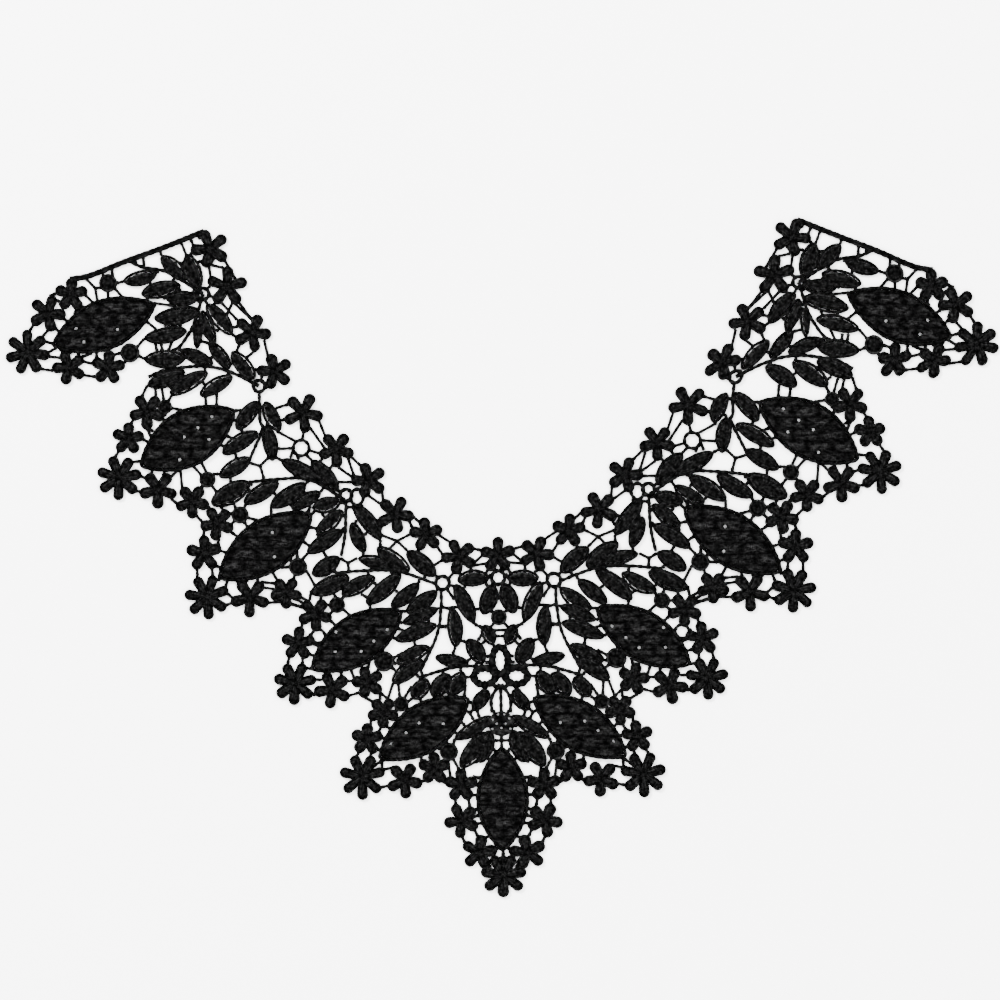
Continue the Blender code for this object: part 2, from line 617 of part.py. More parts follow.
# ---------------------------------------------------------------- raising the walls

def clear_spots(crests, loops):
    """The crests that lie inside the piece, off its edge and not on top of each other."""
    spots = np.array(crests)
    held = inside(spots[:, :2], loops[0])
    for loop in loops[1:]:
        held &= ~inside(spots[:, :2], loop)
    edges = np.vstack([dense(loop, EDGE_SPACING) for loop in loops])
    kept = []
    for x, y, z in spots[held]:
        if np.hypot(edges[:, 0] - x, edges[:, 1] - y).min() < CREST_FROM_EDGE:
            continue
        if all(math.hypot(x - a, y - b) > CREST_APART for a, b, _ in kept):
            kept.append((x, y, z))
    return kept


def face_triangles(loops, spots):
    """Triangles inside the first loop and outside the others, as indices into loops + spots."""
    points, triangles, inside_of, came_from = triangulated(loops, spots)
    index = [min(origin) for origin in came_from]
    flip = []
    start = 0
    for loop in loops:
        order = list(range(start, start + len(loop)))
        flip += order if area(loop) > 0 else order[::-1]
        start += len(loop)
    flip += list(range(start, start + len(spots)))
    return [tuple(flip[index[v]] for v in tri)
            for tri, held in zip(triangles, inside_of) if list(held) == [0]]


def raised(name, loops, edge_height, crests, material):
    """A closed wall: flat below, crested above, with upright sides along every loop."""
    flat = np.vstack(loops)
    count = len(flat)
    top = face_triangles(loops, [(x, y) for x, y, _ in crests])
    under = face_triangles(loops, [])
    z_top = [edge_height] * count + [z for _, _, z in crests]
    xy = np.vstack([flat] + [np.array([(x, y)]) for x, y, _ in crests])
    points = np.column_stack((xy, z_top))
    low = np.column_stack((flat, np.zeros(count)))
    lower = len(points)
    faces = list(top) + [(a + lower, c + lower, b + lower) for a, b, c in under]
    start = 0
    for loop in loops:
        n = len(loop)
        for k in range(n):
            a, b = start + k, start + (k + 1) % n
            faces += [(a, a + lower, b + lower), (a, b + lower, b)]
        start += n
    return mesh_object(name, np.vstack((points, low)), faces, material)


def mesh_object(name, points, faces, material):
    """A new object at the origin, its mesh in metres."""
    mesh = bpy.data.meshes.new(name)
    mesh.from_pydata((points * MM).tolist(), [], faces)
    mesh.materials.append(material)
    piece = bpy.data.objects.new(name, mesh)
    bpy.context.scene.collection.objects.link(piece)
    return piece


def panel(name, row, side, material):
    """The woven filling of a big leaf: a lens whose edge slopes up to a flat crown."""
    rings = [inset_lens(row, RIM + SEAM + PANEL_SLOPE * k, BIG_STEPS) for k in (0, 1)]
    if side == 0:
        rings = [ring - (CENTRE_X, CENTRE_Y) for ring in rings]
    else:
        rings = [anticlockwise(laid(ring, side)) for ring in rings]
    crests = [(x, y, PANEL_CREST) for x, y in rings[1]]
    return raised(name, [anticlockwise(rings[0])], PANEL_EDGE, crests, material)


def end_cord(name, side, material):
    """The corded bar at a wing's back end: a strip with a raised middle."""
    centre = smooth_curve(END_CORD, CORD_SPACING)
    outline = anticlockwise(laid(ribbon(centre, END_CORD_WIDTH), side))
    crests = [(x, y, CORD_CREST) for x, y in laid(centre[1:-1], side)]
    return raised(name, [outline], GROUND, crests, material)


def thread(name, colour, roughness):
    """A plain dyed-thread material."""
    material = bpy.data.materials.new(name)
    material.use_nodes = True
    shader = material.node_tree.nodes["Principled BSDF"]
    shader.inputs["Base Color"].default_value = (*colour, 1)
    shader.inputs["Roughness"].default_value = roughness
    shader.inputs["Metallic"].default_value = 0
    material.diffuse_color = (*colour, 1)
    return material


def main():
    """Clear the scene, then make the lace, the leaf fillings and the end cords."""
    for old in list(bpy.data.objects):
        bpy.data.objects.remove(old, do_unlink=True)
    ground = thread("lace ground", (0.012, 0.012, 0.014), 0.62)
    filling = thread("leaf filling", (0.018, 0.018, 0.020), 0.5)
    cord = thread("end cord", (0.010, 0.010, 0.011), 0.55)
    shapes, cuts, crests = chart()
    names = ("lace_left", "lace_point", "lace_right")
    pieces = united(shapes, cuts)[:len(names)]
    pieces.sort(key=lambda loops: loops[0][:, 0].mean())
    for name, loops in zip(names, pieces):
        raised(name, loops, GROUND, clear_spots(crests, loops), ground)
    for number, row in enumerate(BIG_LEAF_ROWS, 1):
        panel(f"leaf_left_{number}", row, -1, filling)
        panel(f"leaf_right_{number}", row, 1, filling)
    panel("leaf_point", POINT_LEAF, 0, filling)
    end_cord("end_cord_left", -1, cord)
    end_cord("end_cord_right", 1, cord)


main()
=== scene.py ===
"""A pointed collar of black needle-lace, laid flat on a pale surface.

All sizes are in millimetres in one half chart: x runs outward from the centre line, y runs back
towards the neck. Each motif is one table row and one formula, and both wings are laid from it.
A padded motif is a stack of rings, worked out as whole arrays, from its flat underside over its
edge to its middle. Cords and bars are rings along a path, and woven plates are grids. Strands and
stitches follow each piece's own UV map, named thread.
"""
import math

import bpy
import numpy as np
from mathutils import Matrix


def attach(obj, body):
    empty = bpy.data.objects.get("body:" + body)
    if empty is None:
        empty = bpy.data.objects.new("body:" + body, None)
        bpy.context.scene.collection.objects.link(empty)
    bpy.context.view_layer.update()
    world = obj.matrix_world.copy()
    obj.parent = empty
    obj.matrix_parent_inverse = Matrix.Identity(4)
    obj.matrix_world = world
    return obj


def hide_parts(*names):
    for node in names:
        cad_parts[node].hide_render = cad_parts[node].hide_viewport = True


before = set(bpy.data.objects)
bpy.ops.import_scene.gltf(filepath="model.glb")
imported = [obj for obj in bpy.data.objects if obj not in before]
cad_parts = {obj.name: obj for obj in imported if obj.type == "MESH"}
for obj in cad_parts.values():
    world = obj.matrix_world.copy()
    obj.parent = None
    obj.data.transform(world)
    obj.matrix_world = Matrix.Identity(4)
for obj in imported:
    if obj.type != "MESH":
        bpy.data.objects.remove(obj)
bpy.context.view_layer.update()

MM = 0.001
CHANCE = np.random.default_rng(11)      # every draw comes from here, in the order of the pieces
PADDED, CORDED, ONLY = 0, 1, 0          # places in a piece's list of materials

# The part's own origin in the half chart, and how far out and back the right wing's back end
# lies: not at all up to LAY_FROM and in full from LAY_TO on, which are both y
CENTRE = np.array((2.34, -1.20))
LAY_OUT, LAY_BACK = 4.7, 0.7
LAY_FROM, LAY_TO = 61.0, 88.0
# Where the right half, as it lies, is off the left one's mirror image: x, y of the place on it,
# then how far further out and how far further back it lies there
PULLS = np.array((
    (26.7, 3.0, -0.4, 0.8),         # neck edge beside the centre strip
    (50.4, 32.0, -0.2, 1.0),        # neck edge of the fourth scallop
    (85.6, 49.0, 0.4, 1.2),         # neck edge of the third scallop
    (86.1, 84.0, -2.1, 1.2),        # neck flower of the second scallop
    (105.8, 99.0, -0.3, 1.4),       # neck flower of the first scallop
    (121.7, 130.0, 1.2, 1.2),       # inner corner of the back end
    (150.8, 126.0, 0.8, 0.4),       # middle of the end cord
    (191.4, 112.0, 1.7, -1.9),      # outer corner of the back end
    (191.1, 86.0, 0.6, -3.1),       # tip of the first scallop
    (173.8, 101.0, 0.7, -1.2),      # its big leaf
    (161.2, 31.0, 2.2, -1.8),       # tip of the second scallop
    (126.5, 49.0, 2.2, -0.1),       # its big leaf
    (125.6, -15.0, 1.8, -0.4),      # tip of the third scallop
    (90.8, -3.0, 0.8, -0.1),        # its big leaf
    (84.3, -56.0, 1.2, 0.0),        # tip of the fourth scallop
    (43.7, -35.0, 0.5, 0.2),        # neck end of its big leaf
    (54.6, -94.0, 1.8, -0.5),       # tip of the fifth scallop
    (31.5, -73.0, 1.5, 0.0),        # neck end of its big leaf
))
PULL_REACH = 20.0                   # how far from its place each of them counts
PULL_FROM, PULL_TO = -12.0, 20.0    # x at which the pull begins and is whole

# Padded small leaves: x, y of the base; turn of the tip in degrees; length; width
LEAVES = np.array((
    # first scallop, at the back end of the wing
    (140.6, 120.0, -13, 14.6, 6.3), (130.7, 114.9, -12, 17.1, 7.1), (123.2, 109.4, -1, 13.8, 6.3),
    (122.9, 104.4, -10, 19.5, 7.5), (128.4, 96.1, -10, 18.2, 6.7), (129.4, 117.0, 47, 13.9, 6.7),
    (122.8, 113.6, 70, 15.2, 7.5), (120.3, 106.9, -129, 16.9, 6.7), (122.0, 104.4, -110, 15.2, 5.4),
    (123.3, 100.7, -85, 12.5, 3.8), (129.0, 84.5, -1, 17.5, 7.5), (117.7, 81.8, 24, 14.9, 5.8),
    (110.7, 79.7, 53, 14.3, 5.8), (100.3, 75.4, 51, 15.1, 6.7),
    # second scallop
    (129.4, 79.1, -20, 17.0, 6.7), (119.9, 78.5, -30, 18.5, 6.7), (109.6, 76.7, -30, 16.0, 6.3),
    (99.3, 66.2, -53, 14.9, 6.7), (99.3, 53.3, -31, 17.6, 6.9), (102.4, 42.5, -30, 15.5, 6.7),
    (96.3, 66.1, -116, 14.0, 6.3), (96.0, 56.1, -100, 15.3, 6.3),
    # third scallop
    (66.3, 28.2, 50, 17.1, 7.1), (73.0, 32.5, 28, 19.2, 6.7), (103.0, 32.4, -29, 18.6, 8.8),
    (90.9, 32.3, -31, 17.2, 6.9), (79.6, 31.7, -33, 18.0, 7.1), (73.4, 27.9, -29, 14.4, 5.8),
    (65.1, 23.6, -13, 12.4, 6.7), (64.4, 20.3, -40, 14.8, 6.3), (64.5, 12.0, -32, 17.8, 6.7),
    (65.9, 0.7, -32, 13.9, 7.1), (60.2, 22.8, -127, 19.0, 6.7), (60.7, 15.3, -112, 14.0, 5.8),
    # fourth scallop
    (41.7, -3.7, 13, 17.1, 5.8), (36.8, -5.5, 37, 17.0, 7.1), (26.0, -7.7, 41, 16.0, 7.5),
    (62.0, -7.3, -23, 17.7, 7.6), (51.2, -7.7, -29, 16.2, 6.9), (40.6, -6.3, -41, 19.4, 7.1),
    (33.1, -10.5, -40, 15.4, 6.3), (25.6, -13.9, -35, 15.8, 6.7), (25.3, -21.2, -22, 16.0, 5.4),
    (25.8, -27.9, -20, 18.7, 6.3), (28.8, -37.2, -26, 15.8, 6.3), (31.8, -42.6, -36, 16.1, 7.1),
    (18.1, -11.1, -115, 18.1, 6.8), (19.6, -21.0, -95, 16.8, 6.5),
    # fifth scallop
    (12.7, -44.1, 11, 14.4, 5.4), (6.8, -44.6, 58, 12.4, 7.1), (29.8, -50.6, -51, 10.7, 6.9),
    (20.6, -48.6, -51, 12.2, 7.4), (14.8, -47.8, -54, 11.7, 7.4),
))

# The same beside the centre line
CENTRE_LEAVES = np.array((
    (3.5, -8.8, -3, 13.8, 7.1), (2.2, -11.3, -71, 13.6, 7.5), (4.8, -55.4, -54, 10.8, 5.8),
    (3.9, -66.3, -32, 17.8, 5.8), (5.8, -73.0, -53, 18.3, 8.0), (4.4, -72.2, -72, 14.4, 6.7),
    (2.8, -37.0, 68, 9.4, 5.6),
))

# Big leaves of one wing and of the point: x, y of the neck end; turn; length; width
BIG_LEAVES = (
    (141.4, 107.0, -21, 46.2, 20.8),
    (108.9, 62.5, -30, 45.8, 23.3),
    (77.3, 18.9, -34, 47.3, 22.0),
    (40.3, -22.1, -32, 45.0, 20.9),
    (12.9, -58.8, -33, 45.1, 20.5),
)
POINT_LEAF = (0.0, -79.3, -90, 43.3, 20.4)

# Pinholes in each big leaf's filling: distance along its midrib and across it
PINHOLES = (
    ((16.8, -3.6), (31.6, -3.6), (32.5, 3.1)),
    ((7.7, 2.4), (13.7, -5.2), (15.1, 1.4), (22.0, 1.2), (28.3, -6.2)),
    ((16.3, 2.9), (21.4, -5.8)),
    ((7.6, -3.3), (14.7, -4.2), (21.7, -5.1), (25.9, 8.4), (30.8, 0.7)),
    ((13.0, -2.9), (21.1, 3.0), (27.9, 2.5), (35.7, 2.2)),
)

# Seven-petal flowers at the tips of the scallops: x, y, radius, turn of one petal
TIPS = np.array((
    (195.0, 87.7, 9.2, 37), (157.5, 35.0, 9.2, 18), (121.5, -15.2, 9.2, 8), (85.3, -51.7, 8.8, 14),
    (57.7, -91.0, 9.4, 14),
))
POINT_TIP = np.array(((0.0, -132.8, 8.8, 13),))

# Five-petal flowers: x, y, radius, turn of one petal
FLOWERS = np.array((
    # along the outer edge, scallop by scallop
    (186.6, 103.8, 7.6, 40), (176.5, 111.5, 6.8, 21), (177.8, 81.1, 7.0, 71), (161.5, 80.9, 7.0, 23),
    (153.6, 51.2, 6.6, 23), (145.5, 62.4, 7.4, 55), (141.3, 29.8, 7.8, 56), (127.2, 24.7, 7.0, 52),
    (116.9, 15.4, 7.0, 61), (122.5, 2.9, 7.4, 17), (103.6, -15.8, 8.0, 57), (88.5, -13.8, 6.6, 55),
    (76.6, -23.1, 7.0, 51), (83.8, -35.1, 7.0, 23), (69.7, -54.6, 7.6, 65), (54.9, -51.7, 6.6, 3),
    (48.8, -64.3, 6.4, 55), (55.6, -75.4, 6.6, 23), (40.2, -92.7, 7.4, 47), (27.8, -87.9, 6.6, 19),
    # along the neck edge, from the back end to the centre
    (118.4, 130.0, 8.0, 69), (111.5, 114.0, 8.4, 19), (101.3, 94.7, 7.8, 43), (92.0, 78.4, 7.4, 3),
    (80.5, 61.1, 8.3, 47), (66.9, 45.6, 7.4, 54), (53.4, 32.5, 7.4, 1), (42.7, 18.2, 7.8, 44),
    (29.9, 9.7, 7.0, 13), (16.3, 0.3, 7.4, 67),
))
POINT_FLOWERS = np.array(((16.7, -95.1, 6.8, 19), (16.6, -109.7, 7.2, 63), (9.6, -123.1, 7.2, 29)))
NECK_FLOWER = np.array(((0.0, 0.5, 7.4, 18),))

# Round berries: x, y, diameter
BERRIES = np.array((
    (161.1, 116.1, 7.1), (152.3, 86.9, 7.5), (138.0, 64.2, 5.4), (120.7, 33.7, 6.3),
    (107.3, 18.8, 6.7), (83.4, -3.2, 7.1), (67.4, -19.2, 6.3), (48.0, -43.0, 8.0),
    (41.2, -60.8, 5.8), (21.5, -81.1, 7.1),
))
CENTRE_KNOT = np.array(((0.0, -25.4, 6.2),))

# Ringed eyelets: x, y, turn, outer length, outer width, hole length, hole width
EYELETS = (
    (121.5, 111.1, 0, 5.8, 5.8, 3.1, 3.1), (81.5, 46.4, 0, 7.4, 7.4, 5.0, 5.0),
    (98.7, 72.4, 0, 5.8, 5.8, 3.1, 3.1), (63.0, 26.5, 0, 5.8, 5.8, 3.1, 3.1),
    (58.5, 25.6, 90, 7.4, 6.2, 5.0, 3.6), (23.3, -10.6, 0, 6.6, 6.6, 3.8, 3.8),
    (75.4, -32.1, 0, 6.4, 6.4, 4.2, 4.2),
)
CENTRE_EYELETS = ((6.4, -49.8, 0, 10.8, 9.6, 5.8, 3.4),)
AXIS_EYELETS = (
    (0.0, -8.9, 0, 6.6, 6.6, 3.8, 3.8), (0.0, -43.3, 90, 14.0, 8.0, 7.5, 3.8),
    (0.0, -52.3, 0, 7.0, 6.0, 4.2, 3.4),
)
POINT_DISC = (0.0, -69.6, 10.4)
DISC_HOLES = ((1.4, -1.3), (1.4, 1.3), (3.3, -3.2), (3.1, 3.1), (5.3, -1.9), (5.2, 1.9), (6.9, 0.0),
              (7.3, -3.6), (7.3, 3.6))

# Stems: the points that each curve passes through
STEMS = (
    ((152.5, 125.2), (146.4, 122.6), (136.0, 120.2), (121.5, 111.1)),
    ((121.5, 111.1), (125.4, 99.0), (130.6, 90.4), (134.8, 87.4)),
    ((144.9, 76.8), (137.8, 79.4), (123.2, 81.0), (111.5, 78.8), (98.7, 72.4)),
    ((98.7, 70.8), (98.5, 58.2), (97.7, 54.1), (103.3, 41.2)),
    ((103.4, 32.5), (90.4, 33.6), (77.9, 33.0), (63.5, 24.5)),
    ((63.1, 23.6), (63.6, 10.7), (65.4, 1.1)),
    ((68.0, -5.9), (53.8, -5.0), (40.9, -5.8), (26.0, -11.0)),
    ((23.9, -13.6), (24.0, -20.6), (25.9, -32.3), (33.1, -47.6)),
    ((34.0, -50.1), (21.9, -46.5), (12.3, -45.4), (6.4, -46.3)),
)
CENTRE_STEMS = (((0.3, -53.0), (3.6, -58.8), (3.6, -65.0)),)
AXIS_STEMS = (((0.0, -53.0), (0.0, -59.0), (0.0, -66.0)), ((0.0, -121.0), (0.0, -124.5), (0.0, -128.0)))

# The corded bar across the back end of a wing
END_CORD = ((176.9, 117.9), (168.5, 119.4), (153.9, 125.0), (138.4, 130.4), (120.8, 137.2))

# Bars that meet at a knot: the knot's x, y and then the far ends
KNOTS = (
    (166.5, 114.1, (170.2, 117.1), (165.4, 106.9), (161.6, 114.5)),
    (98.7, 39.1, (102.9, 40.4), (95.8, 42.0), (97.1, 33.6)),
    (62.6, -1.8, (65.4, 1.1), (58.8, -0.2), (62.2, -6.0)),
    (42.0, 7.1, (46.0, 10.4), (38.3, 9.4), (45.4, 3.8), (38.7, 4.2)),
    (12.6, -65.0, (16.0, -62.6), (10.6, -63.0), (11.0, -68.0)),
    (10.3, -28.3, (10.3, -24.1), (4.6, -29.6)),
)

# Single bars: x, y of both ends
BARS = (
    (107.6, 108.8, 101.2, 99.9), (95.5, 91.5, 94.8, 84.5), (74.6, 59.5, 70.6, 49.0),
    (77.8, 55.0, 71.4, 46.8), (59.9, 41.1, 56.6, 38.5), (48.0, 26.3, 47.6, 23.4),
    (51.8, 25.6, 48.1, 22.2), (33.6, 16.6, 31.9, 14.1), (25.4, 9.9, 18.6, 5.5),
    (130.9, 134.0, 128.0, 126.4), (159.8, 121.4, 159.0, 117.8), (146.3, 126.8, 146.0, 122.6),
    (94.3, 22.4, 94.4, 17.8), (30.7, -21.4, 16.5, -20.7), (24.6, -29.0, 21.6, -29.0),
    (87.4, -18.2, 81.5, -19.9), (161.2, 114.0, 161.2, 107.2), (22.0, -84.0, 20.8, -93.2),
    (15.9, -83.2, 14.5, -92.9), (66.5, -46.3, 65.3, -50.5), (62.3, -45.1, 60.7, -49.8),
    (1.0, -23.4, 6.2, -22.2), (1.8, -27.4, 5.2, -31.4), (186.2, 85.8, 179.4, 85.1),
    (80.1, -4.5, 77.5, -9.9), (78.1, -12.9, 78.8, -17.4),
    # more in the first three scallops
    (142.4, 107.6, 132.8, 106.2), (142.0, 106.7, 142.9, 102.1), (141.8, 90.9, 141.0, 87.1),
    (139.3, 90.8, 138.9, 87.5), (134.3, 90.8, 136.4, 87.5), (161.4, 89.0, 155.1, 91.0),
    (154.3, 91.9, 148.0, 95.1), (117.1, 126.8, 118.5, 122.2), (118.5, 122.2, 118.1, 116.0),
    (118.0, 123.1, 112.6, 121.8), (111.8, 124.2, 108.9, 117.1), (114.1, 107.6, 107.9, 99.2),
    (109.9, 107.1, 101.7, 99.5), (111.2, 106.3, 109.5, 103.4), (147.2, 55.1, 142.7, 54.2),
    (145.6, 53.4, 143.9, 51.3), (152.4, 41.4, 148.2, 41.8), (148.2, 45.5, 148.3, 39.7),
    (138.3, 38.3, 139.2, 35.0), (136.7, 34.1, 132.1, 34.5), (132.0, 39.1, 131.3, 29.5),
    (126.6, 39.4, 122.9, 35.2), (123.2, 41.1, 121.2, 36.9), (118.7, 36.0, 115.8, 36.0),
    (111.2, 34.7, 110.9, 30.9), (118.8, 31.0, 116.7, 28.1), (103.1, 85.0, 97.2, 87.4),
    (91.8, 53.6, 83.1, 48.9), (91.1, 46.1, 84.4, 46.4), (86.9, 46.0, 86.1, 42.2),
    (84.9, 44.7, 82.4, 41.4), (66.2, 38.2, 60.4, 34.0), (61.2, 41.5, 59.6, 34.4),
    (66.7, 32.0, 60.4, 31.9),
    # more from the third scallop to the centre line
    (99.7, -11.3, 90.6, -12.7), (95.2, -12.2, 94.8, -17.2), (97.8, -18.0, 90.2, -17.7),
    (87.3, -12.7, 77.7, -17.4), (86.5, -15.7, 79.0, -19.5), (89.4, -18.1, 81.1, -20.3),
    (118.5, 21.8, 116.9, 16.8), (114.7, 21.8, 113.1, 18.4), (118.3, 4.7, 112.5, 3.0),
    (122.0, 8.1, 119.1, 6.4), (65.7, -20.1, 62.0, -22.2), (72.7, -46.7, 72.3, -49.6),
    (66.0, -46.8, 65.7, -50.5), (65.7, -50.9, 60.7, -51.0), (64.5, -57.6, 59.1, -56.4),
    (80.7, -49.9, 74.0, -50.4), (82.0, -55.7, 76.6, -56.6), (52.4, -53.6, 47.4, -57.4),
    (47.4, -57.4, 42.9, -60.8), (48.2, -54.9, 50.3, -58.2), (45.3, -53.3, 46.6, -57.8),
    (57.7, -44.0, 56.5, -48.1), (54.1, -87.7, 50.3, -84.0), (50.3, -84.0, 44.4, -85.0),
    (49.9, -84.5, 49.5, -88.2), (49.1, -88.2, 44.9, -86.2), (36.9, -85.0, 34.5, -88.4),
    (25.0, -28.5, 21.2, -28.6), (24.9, -20.6, 17.8, -21.5), (10.1, -2.5, 5.8, 1.2),
    (11.3, -3.7, 3.8, -2.6), (11.3, -1.2, 11.4, -6.6), (5.4, -29.2, 8.7, -29.6),
    (8.7, -29.6, 9.6, -32.5), (9.6, -32.5, 8.4, -35.4), (11.2, -27.0, 8.3, -29.6),
    (5.5, -40.9, 3.5, -40.9), (6.0, -44.2, 3.9, -44.6), (8.6, -55.4, 4.5, -54.6),
)

# Bars on and across the centre line
AXIS_BARS = (
    (-3.6, -30.7, 3.6, -30.7), (-3.2, -33.2, 3.2, -33.2), (-3.9, -76.6, 3.9, -76.6),
    (0.0, -74.0, 0.0, -80.8),
)

# Gaps that no linking bar crosses: the middle of each
OPEN_GAPS = np.array((
    (151.9, 113.1), (91.4, 21.5), (88.4, -6.1),
    (22.6, -4.8), (28.1, 2.8), (49.4, -19.1),
    (185.2, 83.9), (77.7, -1.5), (22.6, -26.1),
))
OPEN_REACH = 1.3        # how near its middle a bar has to pass to be left out

# Sizes of the threads
BAR_WIDTH = 1.25        # a linking bar
BAR_TOP = 1.05
BAR_FLARE = 0.3         # how much wider it gets where it is worked into a motif
FLARE_REACH = 0.6       # and over what length
BAR_ROUND = 0.55        # length over which its end is rounded
BAR_END = 0.2           # share of the width that is left at the very end
BAR_PITCH = 2.4         # length of one turn of its twist
BAR_AROUND = 6          # points round it
# its rings from either end, as shares of its length
BAR_STEPS = np.array((0, 0.03, 0.08, 0.16, 0.28, 0.42))
STEM_WIDTH = 1.5
STEM_TOP = 1.2
CORD_WIDTH = 1.35       # one of the two cords of an end bar
CORD_TOP = 1.5
CORD_APART = 1.15
CORD_STEP = 0.5         # spacing of the rings along a stem or an end cord
CORD_PITCH = 3.0
CORD_AROUND = 8
PLY = 0.13              # how far a cord's two plies stand out, as a share of its radius
CORD_MIDDLE = 0.45      # height of a cord's middle, as a share of the whole
RIM_WIDTH = 1.35        # the outer cord round a big leaf
RIM_TOP = 2.1
RIM_FINE = 0.7          # and the fine one inside it
RIM_FINE_TOP = 1.75
RIM_PITCH = 2.2         # one turn of their twist, in widths of the cord
RIM_POINTS = 160
RING_TOP = 1.7          # the cord of a ringed eyelet
RING_PITCH = 2.6
RING_AROUND = 10
RING_POINTS = 44
GROWN = 0.34            # what the edge stitches add round every motif

# Flowers of five petals and of seven: how many, and the width of the finger
FIVE, SEVEN = (5, 4.7), (7, 4.4)
PETAL_ROOT = 0.74       # share of that width which is left at its root
PETAL_SIDES = 0.35      # power that keeps its sides full towards the root
PETAL_SWAY = 2.5        # how far its turn may be off, in degrees

# Linking bars between two kinds of motif: the longest bar, how far apart such bars lie between the
# same two motifs, and how many there are at most
LINKS = {
    ("leaf", "leaf"): (2.4, 6.5, 2),
    ("leaf", "stem"): (1.6, 9.0, 1),
    ("big", "leaf"): (4.6, 4.4, 3),
    ("cord", "leaf"): (4.0, 6.0, 1),
    ("stem", "stem"): (3.0, 8.0, 1),
    ("big", "stem"): (3.0, 8.0, 1),
    ("flower", "stem"): (4.5, 5.0, 2),
}
OTHER_LINKS = (4.9, 3.4, 4)
REACH = 4.9             # the longest of all
LEAST_LINK = 0.3        # motifs that stand closer than this need no bar
LOOSE_REACH = 3.0       # how far a drawn bar's free end is brought to the nearest motif
BAR_SPACING = 1.9       # how far any two bars lie apart
BAR_CLEAR = 0.35        # how far a bar stays off the motifs that it doesn't link
BAR_SINK = 0.7          # how deep its ends reach into those that it does
LINK_POINTS = 9         # points along a new bar that are tried against motifs and other bars
DRAWN_POINTS = 25       # and along a drawn one
ACROSS = 14.0           # a motif nearer the centre line than this is linked to from the other side
ON_AXIS = 0.8           # a bar whose ends' x add up to less than this is on the centre line
SHARP_FOLD = math.radians(80)


# ---------------------------------------------------------------- laying the chart

def polar(x, y, turn, along, across):
    """Points a distance along and across a direction that starts at x, y."""
    c, s = np.cos(np.radians(turn)), np.sin(np.radians(turn))
    return x + c * along - s * across, y + s * along + c * across


def eased(t):
    """A smooth step from 0 to 1 as t goes from 0 to 1: 3 t squared - 2 t cubed."""
    t = np.clip(t, 0, 1)
    return t * t * (3 - 2 * t)


def laid(points, side):
    """Chart points on their wing: mirrored for the left, eased at the back end for the right.

    The right half is then pulled out of true. The pull at a point is the mean of PULLS, each
    weighted by exp(-distance squared / (2 PULL_REACH squared)) from its place, and grows from
    nothing at one side of the centre strip to the whole at the other.
    """
    out = np.array(points, float)
    if side > 0:
        ease = eased((out[..., 1] - LAY_FROM) / (LAY_TO - LAY_FROM))
        out[..., 0] += LAY_OUT * ease
        out[..., 1] += LAY_BACK * ease
    elif side < 0:
        out[..., 0] *= -1
    apart = ((out[..., None, :2] - PULLS[:, :2]) ** 2).sum(-1)
    near = np.exp(-apart / (2 * PULL_REACH ** 2))
    pull = near @ PULLS[:, 2:] / near.sum(-1, keepdims=True)
    share = eased((out[..., :1] - PULL_FROM) / (PULL_TO - PULL_FROM))
    out[..., :2] += share * pull
    out[..., :2] -= CENTRE
    return out


# ---------------------------------------------------------------- bodies from rings

def bodies(rings, uv, slot, closed=False):
    """Closed bodies from rings of points: bodies, rings, points round a ring, x y z.

    Each ring meets the next in quads. The ends are capped, or meet each other where closed.
    uv has one more column than a ring has points, so that a pattern runs on over the join.
    """
    count, stack, around = rings.shape[:3]
    grid = np.arange(count * stack * around).reshape(count, stack, around)
    wide = np.arange(count * stack * (around + 1)).reshape(count, stack, around + 1)
    low, high = (grid, np.roll(grid, -1, 1)) if closed else (grid[:, :-1], grid[:, 1:])
    flat_low, flat_high = (wide, np.roll(wide, -1, 1)) if closed else (wide[:, :-1], wide[:, 1:])
    quads = np.stack((low, np.roll(low, -1, 2), np.roll(high, -1, 2), high), -1).reshape(-1)
    marks = np.stack((flat_low[..., :-1], flat_low[..., 1:], flat_high[..., 1:],
                      flat_high[..., :-1]), -1).reshape(-1)
    sizes = np.full(len(quads) // 4, 4)
    if not closed:
        quads = np.concatenate((quads, grid[:, 0, ::-1].ravel(), grid[:, -1].ravel()))
        marks = np.concatenate((marks, wide[:, 0, -2::-1].ravel(), wide[:, -1, :-1].ravel()))
        sizes = np.concatenate((sizes, np.full(2 * count, around)))
    corner_uv = uv.reshape(-1, 2)[marks]
    return rings.reshape(-1, 3), quads, sizes, corner_uv, np.full(len(sizes), slot)


def on_side(chunk, side):
    """A chunk laid on its wing; mirroring turns its faces over, so their order is reversed."""
    points, corners, sizes, corner_uv, slots = chunk
    points = laid(points, side)
    if side < 0:
        corners, sizes, corner_uv, slots = corners[::-1], sizes[::-1], corner_uv[::-1], slots[::-1]
    return points, corners, sizes, corner_uv, slots


